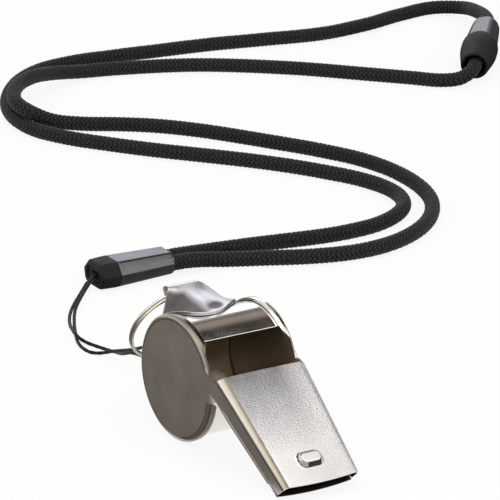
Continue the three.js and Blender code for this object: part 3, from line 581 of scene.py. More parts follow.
def side_plate(name, side, rim_finish):
    """The disc with its rim, open along its join, where the wall's sheet carries on."""
    foot_x = next(x for x in spaced(7.6, 9.2, 160) if hypot(x, wall_foot(x)) >= RIM_RADIUS)
    start = degrees(atan2(foot_x, wall_foot(foot_x)))
    end = 360 + degrees(atan2(JOIN_X, sqrt(RIM_RADIUS**2 - JOIN_X**2)))
    rows = spaced(0, 1, 5)
    columns, kinds, fold_shades = [], [], []
    for angle in spaced(start, NECK_END, 40) + spaced(NECK_END, 360, 118)[1:] + spaced(360, end, 50)[1:]:
        columns.append([(*around(radius, angle), depth) for radius, depth in rim_column(angle)])
        kinds.append("neck" if angle < NECK_ANGLE else "rim")
        fold_shades += rim_fold_shade(angle)
    depths = [FACE_SHEET * i / (RIM_STEPS + 4) for i in range(RIM_STEPS + 5)]
    for r in rows:
        z = wall_top(JOIN_X) + (wall_foot(JOIN_X) - wall_top(JOIN_X)) * r
        columns.append([(JOIN_X, z, depth) for depth in depths])
        kinds.append("join")
    for x in spaced(JOIN_X, foot_x, 5)[1:-1]:
        columns.append([(x, wall_foot(x), depth) for depth in depths])
        kinds.append("slit")
    deep = len(depths)
    points = [on_whistle(x, side * (BODY_HALF - depth), z) for column in columns for x, z, depth in column]
    faces, picks = [], []
    count = len(columns)
    for k in range(count):
        after = (k + 1) % count
        if kinds[k] == kinds[after] == "join":
            continue
        for d in range(deep - 1):
            faces.append((k * deep + d, after * deep + d, after * deep + d + 1, k * deep + d + 1))
            picks.append(0 if kinds[k] == "neck" else 1)
    faces.append([k * deep for k in range(count)])
    faces.append([k * deep + deep - 1 for k in reversed(range(count))])
    picks += [0, 2]
    stations = spaced(JOIN_X, WALL_BENT, 14) + spaced(WALL_BENT, WALL_REACH, 16)[1:]
    wall = [[], []]
    for x in stations:
        thinning = TIP_THINNING * smooth(x, THINNING_START, WALL_REACH)
        for layer, sheet in zip(wall, (0, FACE_SHEET * (1 - thinning))):
            layer.append([on_whistle(
                x + (WALL_OVERRUN - TIP_ARC * r) * smooth(x, WALL_ARC_START, WALL_REACH),
                side * (wall_face(x, r) - sheet), wall_top(x) + (wall_foot(x) - wall_top(x)) * r,
            ) for r in rows])
    first = len(points)
    wall_points, wall_faces, wall_picks = thick_sheet(*wall)
    points += wall_points
    for face, pick in zip(wall_faces, wall_picks):
        if any(k // len(rows) % len(stations) for k in face):
            faces.append([first + k for k in face])
            picks.append((0, 2, 1)[pick])
    fold_shades += [0.0] * (len(points) - len(fold_shades))
    plate = shaped_piece(
        name, points, faces, [satin_nickel, rim_finish, chamber_nickel], picks, marks=("fold", fold_shades),
    )
    weighted = plate.modifiers.new("flat_face", "WEIGHTED_NORMAL")
    weighted.keep_sharp = True
    weighted.weight = 100
    return plate


satin_nickel, shader, cloud, grain = mottled_finish("satin_nickel", 220, 9000)
set_inputs(shader, {
    "Base Color": blend_colours(cloud, (0.42, 0.385, 0.355), (0.52, 0.48, 0.445)), "Metallic": 1,
    "Roughness": ranged(cloud, 0.3, 0.4), "Normal": bumped(grain, 0.12, 0.00003),
})
# A fold is polished where it is open to the light, and painted dark olive along its creases as painted shade.
folded_nickel, shader, cloud, grain = mottled_finish("folded_nickel", 420, 5200)
painted_shade_mask = marked("fold", cloud, 1, 0.65)
set_inputs(shader, {
    "Base Color": blend_colours(painted_shade_mask, (0.38, 0.345, 0.295), (0.1, 0.086, 0.058)), "Metallic": 1,
    "Roughness": ranged(cloud, 0.12, 0.22), "Normal": bumped(grain, 0.06, 0.00002),
})
# The near plate's rim carries the painted fold shade; the far plate's rim is plain bright nickel.
for name, side, node, rim_finish in (
    ("near_side_plate", -1, "left_side_plate", folded_nickel),
    ("far_side_plate", 1, "right_side_plate", bright_nickel),
):
    plate = side_plate(name, side, rim_finish)
    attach(plate, "whistle")
    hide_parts(node)

# Mouthpiece top: a shallow channel of plated sheet, pressed with a fine grain and bevelled along its sides.
# A tooth grip is pressed up near its tip.
PLATE_HEIGHT = 10.9
PLATE_SHEET = 0.6
PLATE_CROWN = 0.12
PLATE_LOW = 9.9
PLATE_EDGE = 10.25
BEVEL_REAR = 1.28
BEVEL_TIP = 0.64
GRIP = (26.75, -0.4)  # along, across
GRIP_HALF = (1.6, 2.55)
GRIP_HEIGHT = 0.85
GRIP_SLOPE = 0.9
GRIP_CORNER = 1.35
GRIP_ALONG = (24.6, 28.9)
GRIP_ACROSS = (-3.4, 2.6)
EDGE_ROUND = 0.05
RIDGE_ROUND = 0.22
PLATE_THINNING = 0.65
BEVEL_COLUMNS = 11
# DULL_SHADED picks the dull inside finish, which is painted dark as painted shade towards the mouthpiece's tip.
GRAINED, BRIGHT, DULL_SHADED, CREASED, SATIN = range(5)


def grip_wall(x, y):
    """How far up the tooth grip's wall a place on the plate is, from 0 to 1."""
    dx = abs(x - GRIP[0]) - (GRIP_HALF[0] - GRIP_CORNER)
    dy = abs(y - GRIP[1]) - (GRIP_HALF[1] - GRIP_CORNER)
    reach = hypot(max(dx, 0), max(dy, 0)) + min(max(dx, dy), 0)
    return smooth(GRIP_CORNER - reach, -0.05, GRIP_SLOPE)


def grip_finish(x, y):
    """Pick of finish on the grip: dull and painted dark as painted shade in its crease, in bands along its
    walls and on its front wall, and creased metal for a painted brownish reflection on its left one.
    """
    wall = grip_wall(x, y)
    along, across = (x - GRIP[0]) / GRIP_HALF[0], (y - GRIP[1]) / GRIP_HALF[1]
    if wall < 0.04 or wall > 0.93 or across > 0.72:
        return GRAINED
    if across < -0.42 and along > -0.3:
        return CREASED if wall > 0.14 else DULL_SHADED
    if along > 0.3:
        return DULL_SHADED
    return DULL_SHADED if wall < 0.34 or wall > 0.7 else GRAINED


def side_profile(sign, half, bevel, slope):
    """From the plate's lower edge over its bevel to the rounded ridge, as (across, height) pairs."""
    made = [
        (sign * half, PLATE_LOW), (sign * half, PLATE_EDGE - EDGE_ROUND),
        (sign * (half - EDGE_ROUND), PLATE_EDGE + 0.03),
    ]
    for share in (0.3, 0.6):
        y = half - EDGE_ROUND - (bevel - 0.3) * share
        made.append((sign * y, PLATE_EDGE + (half - y) * slope))
    for r in spaced(-1, 1, 6):
        fall = RIDGE_ROUND * slope * (r - 1) ** 2 / 4
        made.append((sign * (half - bevel - RIDGE_ROUND * r), PLATE_HEIGHT - PLATE_CROWN - fall))
    return made


# Pressed grain, deepest at the window's end, and painted shade that darkens the plate towards the window's end
# and its left edge and leaves it bright towards the tip and the right edge.
grained_nickel, shader, cloud, _ = mottled_finish("grained_nickel", 240, 3800)
grain = {"Vector": own_place(shader), "Scale": 4200, "Detail": 2, "Roughness": 0.5}
grain = add_node(shader, "TexNoise", grain).outputs["Fac"]
place = add_node(shader, "SeparateXYZ", {"Vector": own_place(shader)})
depth = ranged(place.outputs["X"], 1, 0.16, 0.005, 0.02)
painted_plate_shade = product(depth, ranged(place.outputs["Y"], 1, 0.4, 0.0025, 0.0065))
dark = product(painted_plate_shade, ranged(cloud, 1.1, 0.8))
set_inputs(shader, {
    "Base Color": blend_colours(dark, (0.82, 0.80, 0.795), (0.21, 0.21, 0.215)), "Metallic": 1,
    "Roughness": ranged(cloud, 0.36, 0.5), "Normal": bumped(product(grain, depth), 1, 0.00028),
})
grip_rear, grip_front = GRIP_ALONG
stations = spaced(PLATE_START, grip_rear, 30) + spaced(grip_rear, grip_front, 46)[1:]
stations += spaced(grip_front, PLATE_REACH, 8)[1:]
flat_rear = MOUTH_REAR - BEVEL_REAR
grip_left, grip_right = GRIP_ACROSS
flat_places = spaced(-flat_rear + 0.3, grip_left, 9) + spaced(grip_left, grip_right, 58)[1:]
flat_places += spaced(grip_right, flat_rear - 0.3, 11)[1:]
sheets = [[], []]
for x in stations:
    along = (x - PLATE_START) / (PLATE_REACH - PLATE_START)
    half = mouth_half(x)
    bevel = BEVEL_REAR + (BEVEL_TIP - BEVEL_REAR) * along
    flat = half - bevel
    slope = (PLATE_HEIGHT - PLATE_CROWN - PLATE_EDGE) / bevel
    profile = side_profile(-1, half, bevel, slope)
    profile += [
        (y * flat / flat_rear, PLATE_HEIGHT - PLATE_CROWN * (y / flat_rear) ** 2) for y in flat_places
    ]
    profile += side_profile(1, half, bevel, slope)[::-1]
    sheet = PLATE_SHEET * (1 - PLATE_THINNING * smooth(x, THINNING_START + 0.5, PLATE_REACH))
    outer, inner = [], []
    for y, z in profile:
        bow = TIP_ARC * along * (y / half) ** 2
        rise = GRIP_HEIGHT * grip_wall(x, y)
        outer.append(on_whistle(x - bow, y, z + rise))
        inside = max(abs(y) - sheet * smooth(abs(y), flat - 1, half), 0)
        low = PLATE_LOW if z <= PLATE_LOW else max(z - sheet, PLATE_LOW + 0.01)
        inner.append(on_whistle(x - bow, copysign(inside, y), low + rise))
    sheets[0].append(outer)
    sheets[1].append(inner)
points, faces, picks = thick_sheet(*sheets)
columns = len(sheets[0][0])
finish_of = []
for face, pick in zip(faces, picks):
    i, j = divmod(face[0], columns)
    if pick:
        finish_of.append(DULL_SHADED if pick == 1 else BRIGHT)
    elif j < BEVEL_COLUMNS:
        finish_of.append(CREASED if j else SATIN)
    else:
        y = flat_places[min(j - BEVEL_COLUMNS, len(flat_places) - 1)]
        finish_of.append(grip_finish(stations[i], y))
# Painted shade: the near side's bevel is painted dark olive across its middle columns, by the fold mark.
near_fold_shades = [0.2, 0, 0, 0, 0.15, 0.6, 0.9, 1, 1, 1, 0.95, 0.7]
fold_shades = (near_fold_shades + [0.0] * (columns - len(near_fold_shades))) * len(stations)
mouthpiece_top = shaped_piece(
    "mouthpiece_plate", points, faces,
    [grained_nickel, bright_nickel, chamber_nickel, folded_nickel, satin_nickel],
    finish_of, edge=0.06, marks=("fold", fold_shades + [0.0] * len(fold_shades)),
)
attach(mouthpiece_top, "whistle")
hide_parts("mouthpiece_top")

# Tail lug: a folded strip of polished sheet, brazed to the back of the barrel by its tongue and heel.
# Its front leg flares from the bend down to the tongue, with a hollow and a small dimple pressed in, both
# painted dark as painted shade.
LUG_SHEET = 0.55
LUG_BEND = 1.2
LUG_OFFSET = -1.1
LUG_FOOT = BAND_RADIUS + SEAM + LUG_SHEET / 2
LUG_REACH = 16.7
LUG_MIDDLE = Vector(around(LUG_REACH - LUG_SHEET - LUG_BEND, -80.5))
LUG_FOLD_ANGLE = -50
LUG_HEEL_ANGLES = (-103, -118)
LUG_RIDGE_MIDDLE = -0.86
LUG_RIDGE_HALF = 3.09
LUG_HEEL_HALF = 2.2
LUG_ROWS = 44
LUG_TONGUE_EDGE = [  # angle round the barrel, place across it
    (-80, -7.4), (-60, -7.15), (-46, -6.4), (-36, -5.3), (-31.3, -3.66), (-30.3, -2.2), (-31.2, -0.8),
    (-34, 0.6), (-39, 2), (-46.5, 3.6), (-57, 5.7), (-72, 7.1),
]
LUG_HOLLOW = 0.5
LUG_DIMPLE = (0.17, 0.22, 0.2, 0.16)  # middle and spread across, height and spread up the leg
LUG_DIMPLE_DEPTH = 0.24


def lug_dents(s, climb):
    """How deep the front leg's large left hollow and its small right dimple are, from 0 to 1."""
    limit = -0.04 - 0.27 * climb**1.6
    hollow = (1 - smooth(s, limit - 0.1, limit + 0.1)) * between(climb, 0.02, 0.1, 0.76, 0.95)
    middle, spread, height, rise = LUG_DIMPLE
    dimple = exp(-(((s - middle) / spread) ** 2) - ((climb - height) / rise) ** 2)
    return hollow, dimple


def leaving(point, side):
    """Where a leg through the point touches the lug's bend."""
    bend = LUG_BEND + LUG_SHEET / 2
    away = point - LUG_MIDDLE
    swing = side * acos(bend / away.length)
    turned = away.normalized() * bend
    return LUG_MIDDLE + Vector((
        turned.x * cos(swing) - turned.y * sin(swing),
        turned.x * sin(swing) + turned.y * cos(swing),
    ))


lug_nickel, shader, cloud, grain = mottled_finish("lug_nickel", 320, 4200)
painted_shade_mask = marked("dull", cloud, 1, 0.8)
set_inputs(shader, {
    "Base Color": blend_colours(painted_shade_mask, (0.57, 0.56, 0.57), (0.034, 0.027, 0.02)),
    "Metallic": ranged(painted_shade_mask, 1, 0.12), "Specular IOR Level": 0.2,
    "Roughness": ranged(painted_shade_mask, 0.3, 0.5), "Normal": bumped(grain, 0.1, 0.00003),
})
fold = Vector(around(LUG_FOOT, LUG_FOLD_ANGLE))
heel_fold = Vector(around(LUG_FOOT, LUG_HEEL_ANGLES[0]))
front_top, rear_top = leaving(fold, 1), leaving(heel_fold, -1)
leg = (front_top - fold).normalized()
turn_from = atan2(*reversed(front_top - LUG_MIDDLE))
turn_to = atan2(*reversed(rear_top - LUG_MIDDLE))
turn_to += tau if turn_to < turn_from else 0
ridge_line = [
    LUG_MIDDLE + (LUG_BEND + LUG_SHEET / 2) * Vector((cos(turn), sin(turn)))
    for turn in spaced(turn_from, turn_to, 16)[1:]
]
ridge_line += [rear_top.lerp(heel_fold, t) for t in spaced(0, 1, 8)[1:]]
ridge_line += [Vector(around(LUG_FOOT, a)) for a in spaced(*LUG_HEEL_ANGLES, 5)[1:]]
tongue_edge = laid_run([(y, LUG_FOOT * radians(a), 0) for a, y in LUG_TONGUE_EDGE], 0.5)
across_lug = spaced(-1, 1, len(tongue_edge) - 1)
# Each line leaves the barrel along the tongue and runs into the straight leg, more so in the middle.
lug_columns = []
for s, edge in zip(across_lug, tongue_edge):
    edge_angle = degrees(edge.y / LUG_FOOT)
    start = Vector(around(LUG_FOOT, edge_angle))
    back = Vector(around(1, edge_angle - 90))
    first = start + back * (0.3 + 2.9 * (1 - s * s))
    second = front_top - leg * (1 + 3.2 * (1 - s * s))
    line = [
        (1 - t) ** 3 * start + 3 * t * (1 - t) ** 2 * first
        + 3 * t * t * (1 - t) * second + t**3 * front_top for t in spaced(0, 1, LUG_ROWS)
    ]
    lug_columns.append(line + ridge_line)
sheets, dull = [[], []], []
for i in range(len(lug_columns[0])):
    for layer in sheets:
        layer.append([])
    climb = min(i / LUG_ROWS, 1)
    for s, edge, line in zip(across_lug, tongue_edge, lug_columns):
        here = line[i]
        ahead = (line[min(i + 1, len(line) - 1)] - line[max(i - 1, 0)]).normalized()
        out = Vector((ahead.y, -ahead.x))
        half = LUG_RIDGE_HALF
        if i > LUG_ROWS:
            half += (LUG_HEEL_HALF - LUG_RIDGE_HALF) * smooth(LUG_MIDDLE.y - here.y, -0.4, 2.2)
        low = (1 - climb) ** 1.1
        y = edge.x * low + (LUG_RIDGE_MIDDLE + s * half) * (1 - low)
        hollow, dimple = lug_dents(s, climb)
        dent = LUG_HOLLOW * hollow * smooth(s, -1, -0.65) + LUG_DIMPLE_DEPTH * dimple
        # Painted shade: the hollow and the dimple are marked to be painted dark.
        dull.append(max(hollow, smooth(dimple, 0.2, 0.75)))
        for layer, offset in zip(sheets, (LUG_SHEET / 2, -LUG_SHEET / 2)):
            spot = here + out * (offset - dent)
            layer[-1].append(on_whistle(spot.x, y, spot.y))
points, faces, _ = thick_sheet(*sheets)
tail_lug = shaped_piece(
    "folded_lug", points, faces, [lug_nickel], edge=0.08, marks=("dull", dull + [0.0] * len(dull)),
)
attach(tail_lug, "whistle")
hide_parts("tail_lug")

# Split ring: one hard nickel-plated wire wound in two turns, which spread to let the string in.
# It hangs in the lug's bend.
RING_RADIUS = 7.5
RING_WIRE = 0.54
RING_TURN_GAP = 0.06
RING_HANG = radians(-115) + TILT
RING_STEP = 90
RING_SPREAD = 30
RING_END_SPACE = 36
RING_SIDES = 16


def ring_line(t):
    """A place on the wire: two turns, with a step from one to the other opposite the ends."""
    angle = RING_STEP + RING_END_SPACE + t * (720 - 2 * RING_END_SPACE)
    step = smooth(angle, RING_STEP + 360 - RING_SPREAD, RING_STEP + 360 + RING_SPREAD)
    offset = (RING_WIRE + RING_TURN_GAP) * (step - 0.5)
    down = RING_RADIUS * (1 - cos(radians(angle)))
    return Vector((
        LUG_MIDDLE.x + cos(RING_HANG) * down - sin(RING_HANG) * offset,
        LUG_OFFSET + RING_RADIUS * sin(radians(angle)),
        LUG_MIDDLE.y + sin(RING_HANG) * down + cos(RING_HANG) * offset,
    ))


ring_run = [ring_line(t) for t in spaced(0, 1, 300)]
ring_length = sum((b - a).length for a, b in zip(ring_run, ring_run[1:]))


def wire_radius(travelled, turn):
    """The wire's radius, a little less at its two cut ends."""
    end = min(travelled, ring_length - travelled)
    return RING_WIRE / 2 * (0.72 + 0.28 * min(end / 0.12, 1)), 1.0


# The wire is light nickel where it faces the viewer, and painted dark brown along the sides it turns away, as
# painted shade.
ring_nickel, shader, cloud, grain = mottled_finish("ring_nickel", 500, 7000)
painted_edge_shade = add_node(shader, "LayerWeight", {"Blend": 0.45}).outputs["Facing"]
polished = blend_colours(cloud, (0.66, 0.60, 0.52), (0.86, 0.82, 0.76))
set_inputs(shader, {
    "Base Color": blend_colours(painted_edge_shade, polished, (0.10, 0.085, 0.065)), "Metallic": 1,
    "Roughness": ranged(cloud, 0.1, 0.2), "Normal": bumped(grain, 0.08, 0.00002),
})
split_ring = tube_mesh(
    "split_ring_wire", ring_run, RING_SIDES, wire_radius, ring_nickel, lambda p: on_whistle(*p),
)
split_ring.data.set_sharp_from_angle(angle=radians(40))
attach(split_ring, "ring")
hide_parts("split_ring")

# Pea: a turned cork ball, loose in the barrel, pitted and slightly out of round.
# It lies at the bottom of the barrel near the left plate.
PEA_RADIUS = 5
PEA_PLACE = (BARREL_X, -2.6, 6.47)


def cork_pit(x, y, z):
    """Depth of the cork's pits and flats in a direction from its middle."""
    waves = sin(7.1 * x + 2.3 * y) * sin(6.3 * y - 3.1 * z) + 0.6 * sin(9.7 * z + 4.1 * x)
    pits = sin(17 * x + 5 * z) * sin(19 * y - 7 * x) * sin(15 * z + 3 * y)
    return 0.02 * (waves + 1.6) + 0.3 * max(0, pits - 0.45)


pea_cork, shader, cloud, _ = mottled_finish("pea_cork", 500, 2500)
cells = add_node(shader, "TexVoronoi", {"Vector": own_place(shader), "Scale": 1500}).outputs["Distance"]
set_inputs(shader, {
    "Base Color": blend_colours(cloud, (0.30, 0.23, 0.16), (0.62, 0.52, 0.40)),
    "Roughness": ranged(cloud, 0.75, 0.95), "Normal": bumped(cells, 0.5, 0.0002),
})
ball = bmesh.new()
bmesh.ops.create_icosphere(ball, subdivisions=5, radius=1)
for corner in ball.verts:
    direction = corner.co.normalized()
    corner.co = (Vector(PEA_PLACE) + direction * (PEA_RADIUS - cork_pit(*direction))) * MM
mesh = bpy.data.meshes.new("cork_pea")
ball.to_mesh(mesh)
ball.free()
mesh.shade_smooth()
mesh.materials.append(pea_cork)
cork_pea = placed("cork_pea", mesh)
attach(cork_pea, "pea")
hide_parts("pea")

# Sleeve: a gloss black moulded shell over the cord's crimped end, narrower at its mouth,
# closed by a matte end plug with a recess and a small oblong hole for the string.
SLEEVE_PLACE = (-66.46, 15.62)
SLEEVE_HEADING = radians(90.1)
SLEEVE_LENGTH = 16
SLEEVE_SECTION = (7.6, 4.95, 2.25)  # width, height, corner
SLEEVE_MOUTH = 0.87
SLEEVE_WALL = 0.28
SLEEVE_EDGE = 0.25
SLEEVE_SEAM_ROUND = 0.12
PLUG_LENGTH = 3.8
PLUG_NOSE = 0.95
PLUG_ROUND = 0.5
PLUG_ROUND_START = 0.55
SPIGOT_LENGTH = 2.2
SPIGOT_PLAY = 0.3


def sleeve_outline(width, height):
    """The sleeve's section: a flat top, a face that slopes to the seam, and a bevel along its foot."""
    a, b, seam = width / 2, height / 2, 0.3
    upper = [(a, seam), (a - 0.06, seam + 0.12)]
    lower = [(a, seam - 0.02), (a - 0.12, seam - 0.5)]
    edge = Vector((a * 0.56, b))
    face = Vector(upper[1]).lerp(edge, 0.84)
    for half, (start, middle, end) in (
        (upper, (face, edge, Vector((a * 0.47, b)))),
        (lower, (Vector((a - 0.45, -b * 0.62)), Vector((a - 0.9, -b * 0.93)), Vector((a * 0.5, -b)))),
    ):
        half += [tuple(start.lerp(middle, t).lerp(middle.lerp(end, t), t)) for t in spaced(0, 1, 6)]
    return upper + [(-x, z) for x, z in upper[::-1]] + [(-x, z) for x, z in lower] + lower[::-1]


def rounded_rectangle(width, height, corner, each=8):
    """Points of a rectangle with round corners, from its right side round."""
    corner = min(corner, height / 2 - 0.01, width / 2 - 0.01)
    made = []
    for k, (sx, sy) in enumerate(((1, 1), (-1, 1), (-1, -1), (1, -1))):
        for turn in spaced(k * pi / 2, (k + 1) * pi / 2, each):
            made.append((
                sx * (width / 2 - corner) + corner * cos(turn),
                sy * (height / 2 - corner) + corner * sin(turn),
            ))
    return made


def on_sleeve(along, across, up):
    ahead = Vector((cos(SLEEVE_HEADING), sin(SLEEVE_HEADING), 0))
    left = Vector((-ahead.y, ahead.x, 0))
    base = Vector((SLEEVE_PLACE[0], SLEEVE_PLACE[1], SLEEVE_SECTION[1] / 2))
    return on_table(base + ahead * along + left * across + Vector((0, 0, up)))


def ring_loft(rings):
    """A body that passes through each ring in turn and closes on the first."""
    return [p for ring in rings for p in ring], ring_faces(len(rings), len(rings[0]), joined=1)


gloss_black, shader, cloud, grain = mottled_finish("gloss_black", 350, 5000)
set_inputs(shader, {
    "Base Color": blend_colours(cloud, (0.004, 0.004, 0.0045), (0.009, 0.009, 0.010)),
    "Specular IOR Level": 0.85, "Roughness": ranged(cloud, 0.2, 0.32),
    "Normal": bumped(grain, 0.06, 0.00003),
})
matte_black, shader, cloud, grain = mottled_finish("matte_black", 420, 6500)
set_inputs(shader, {
    "Base Color": blend_colours(cloud, (0.007, 0.007, 0.007), (0.016, 0.0155, 0.015)),
    "Specular IOR Level": 0.18, "Roughness": ranged(cloud, 0.5, 0.68),
    "Normal": bumped(grain, 0.15, 0.00005),
})
width, height, corner = SLEEVE_SECTION
shell_start = PLUG_LENGTH + SEAM


def outside_ring(along, scale=1, inset=0):
    """The sleeve's outline at a place along it, scaled, and then drawn in all round."""
    outline = sleeve_outline(width * scale - 2 * inset, height * scale - 2 * inset)
    return [on_sleeve(along, across, up) for across, up in outline]


def inside_ring(along, *section):
    return [on_sleeve(along, across, up) for across, up in rounded_rectangle(*section)]


def shell_scale(along):
    return 1 - (1 - SLEEVE_MOUTH) * (along - shell_start) / (SLEEVE_LENGTH - shell_start)


def plug_scale(along):
    return PLUG_NOSE + (1 - PLUG_NOSE) * sin(pi / 2 * along / PLUG_LENGTH)


bore = [v * SLEEVE_MOUTH - 2 * SLEEVE_WALL for v in (width, height)]
bore_corner = corner * SLEEVE_MOUTH - SLEEVE_WALL
rings = []
for bend in spaced(0, pi / 2, 4):
    along = shell_start + SLEEVE_SEAM_ROUND * (1 - cos(bend))
    rings.append(outside_ring(along, inset=SLEEVE_SEAM_ROUND * (1 - sin(bend))))
for along in spaced(shell_start + 0.5, SLEEVE_LENGTH - 0.6, 12):
    rings.append(outside_ring(along, shell_scale(along)))
for bend in spaced(0, pi / 2, 5):
    along = SLEEVE_LENGTH - SLEEVE_EDGE * (1 - sin(bend))
    rings.append(outside_ring(along, shell_scale(along), SLEEVE_EDGE * (1 - cos(bend))))
for along in (SLEEVE_LENGTH - 0.05, shell_start + 0.05):
    rings.append(inside_ring(along, *bore, bore_corner))
points, faces = ring_loft(rings)
sleeve_shell = shaped_piece("sleeve_moulding", points, faces, [gloss_black], sharp=38)
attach(sleeve_shell, "whistle")
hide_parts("sleeve_shell")
rings = [outside_ring(along, plug_scale(along)) for along in spaced(PLUG_LENGTH, PLUG_ROUND_START, 6)]
for bend in spaced(0, pi / 2, 5)[1:]:
    along = PLUG_ROUND_START - PLUG_ROUND * sin(bend)
    rings.append(outside_ring(along, plug_scale(PLUG_ROUND_START), PLUG_ROUND * (1 - cos(bend))))
# The recess in the plug's end, the hole through it, and the spigot in the shell's bore.
spigot = (*[v - SPIGOT_PLAY for v in bore], bore_corner)
spigot_end = PLUG_LENGTH + SPIGOT_LENGTH
for along, section in (
    (0.05, (4.95, 2.85, 0.95)), (0.12, (4.8, 2.7, 0.9)), (0.4, (4.7, 2.6, 0.85)), (0.42, (2.1, 1.3, 0.2)),
    (0.5, (2.0, 1.2, 0.18)), (spigot_end, (2.0, 1.2, 0.18)), (spigot_end, spigot), (PLUG_LENGTH, spigot),
):
    rings.append(inside_ring(along, *section))
points, faces = ring_loft(rings)
sleeve_plug = shaped_piece("sleeve_end_piece", points, faces, [matte_black], sharp=38)
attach(sleeve_plug, "whistle")
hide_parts("sleeve_end_plug")

# Crimp, knot and cord stops: small pieces out of sight inside the sleeve and the clasp.
# They keep the cords' ends from pulling through.
for node, finish in (
    ("cord_crimp", bright_nickel), ("loop_knot", black_braid),
    ("socket_cord_stop", matte_black), ("plug_cord_stop", matte_black),
):
    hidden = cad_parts[node].data
    hidden.materials.clear()
    hidden.materials.append(finish)

# Clasp: two moulded black halves that pull apart under load. The matte socket takes the cord at its mouth,
# and the glossier plug half has a sloping flat and a prong in the socket.
CLASP_PLACE = Vector((-131, 149.9, 3.42))
CLASP_HEADING = radians(137.3)
CLASP_RISE = radians(5.4)
CLASP_AXIS = Vector((
    cos(CLASP_HEADING) * cos(CLASP_RISE),
    sin(CLASP_HEADING) * cos(CLASP_RISE),
    sin(CLASP_RISE),
))
CLASP_SIDE = CLASP_AXIS.cross(Vector((0, 0, 1))).normalized()
CLASP_TOP = CLASP_SIDE.cross(CLASP_AXIS)
CLASP_SIDES = 64
SOCKET_PROFILE = [  # radius, place along the axis
    (2.3, 0.3), (2.45, 0.08), (2.65, 0), (2.85, 0.06), (2.98, 0.25), (3.05, 0.55), (3.2, 1.6), (3.45, 3.2),
    (3.7, 4.9), (3.86, 6.1), (3.93, 7.0), (3.95, 7.8), (3.95, 9.4), (3.92, 9.9), (3.82, 10.2), (3.6, 10.38),
    (3.3, 10.4), (2.85, 10.4), (2.85, 2.2), (2.3, 1.7),
]
PLUG_PROFILE = [  # radius, place along the axis
    (0.05, 7.92), (2.0, 7.92), (2.4, 8.05), (2.5, 8.42), (2.5, 10.5), (3.3, 10.52), (3.5, 10.62), (3.6, 10.95),
    (3.58, 11.6), (3.46, 13.4), (3.34, 15.4), (3.22, 17.4), (3.1, 19.4), (3.0, 20.5), (2.85, 21.1), (2.6, 21.4),
    (2.3, 21.42), (1.8, 21.3), (1.8, 15.5), (2.3, 15.1), (2.35, 12.15), (0.05, 12.12),
]
FLAT_EASE = 10.9
FLAT_START = 11.5
FLAT_HEIGHT = 3.12
FLAT_FALL = atan2(0.5, 9.9)
FLAT_TURN = radians(-12)


def on_clasp(across, along, up):
    return on_table(CLASP_PLACE + CLASP_SIDE * across + CLASP_AXIS * along + CLASP_TOP * up)


def turned_rings(profile, flat=False):
    """Rings round the clasp's axis at each radius of a profile, cut by the sloping flat."""
    rings = []
    for radius, along in profile:
        ring = []
        for turn in spaced(0, tau, CLASP_SIDES)[:-1]:
            across, up = radius * sin(turn), radius * cos(turn)
            if flat and along > FLAT_EASE:
                over = sin(FLAT_TURN) * across + cos(FLAT_TURN) * up
                limit = FLAT_HEIGHT - tan(FLAT_FALL) * (along - FLAT_START) * (along > FLAT_START)
                cut = max(over - limit, 0) * smooth(along, FLAT_EASE, FLAT_START)
                across -= sin(FLAT_TURN) * cut
                up -= cos(FLAT_TURN) * cut
            ring.append(on_clasp(across, along, up))
        rings.append(ring)
    return rings


points, faces = ring_loft(turned_rings(SOCKET_PROFILE))
clasp_socket = shaped_piece("clasp_socket_half", points, faces, [matte_black], sharp=40)
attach(clasp_socket, "whistle")
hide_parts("clasp_socket")
points, faces = ring_loft(turned_rings(PLUG_PROFILE, flat=True))
clasp_plug = shaped_piece("clasp_plug_half", points, faces, [gloss_black], sharp=7.5)
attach(clasp_plug, "clasp_half")
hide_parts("clasp_plug")

# The cords as laid: both neck strands run from the sleeve's mouth to the clasp, and the string from
# the sleeve's hole through the ring and back.
stops = [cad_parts[node] for node in ("socket_cord_stop", "plug_cord_stop")]
[on_table(p) for p in laid_run(FRONT_STRAND, 1)]
[on_table(p) for p in laid_run(REAR_STRAND, 1)]
[on_table(p) for p in laid_run(STRING_ROUTE, 0.5)]

# Studio: a white table and backdrop, with broad soft lamps overhead, at the left and at the right,
# and dim and bright cards that only glossy surfaces mirror.
TABLE_HALF = 3
TABLE_WHITE = 0.88
BACKDROP_LIGHT = 0.6
DIM_SHADES = ((0, (0.1, 0.1, 0.11)), (1, (0.12, 0.12, 0.13)))
# Each lamp's name, place, the point it faces, its size, power and colour.
LAMPS = (
    ("overhead_lamp", (0.05, -0.03, 0.75), (0.0, 0.0, 0.0), (0.9, 0.6), 2.2, (1, 0.965, 0.91)),
    ("left_lamp", (-0.05, -0.62, 0.55), (0.0, 0.0, 0.01), (0.6, 0.5), 0.75, (1, 0.93, 0.8)),
    ("right_lamp", (0.525, 0.47, 0.56), (0.0, 0.05, 0.0), (0.34, 0.34), 0.85, (1, 0.97, 0.95)),
)
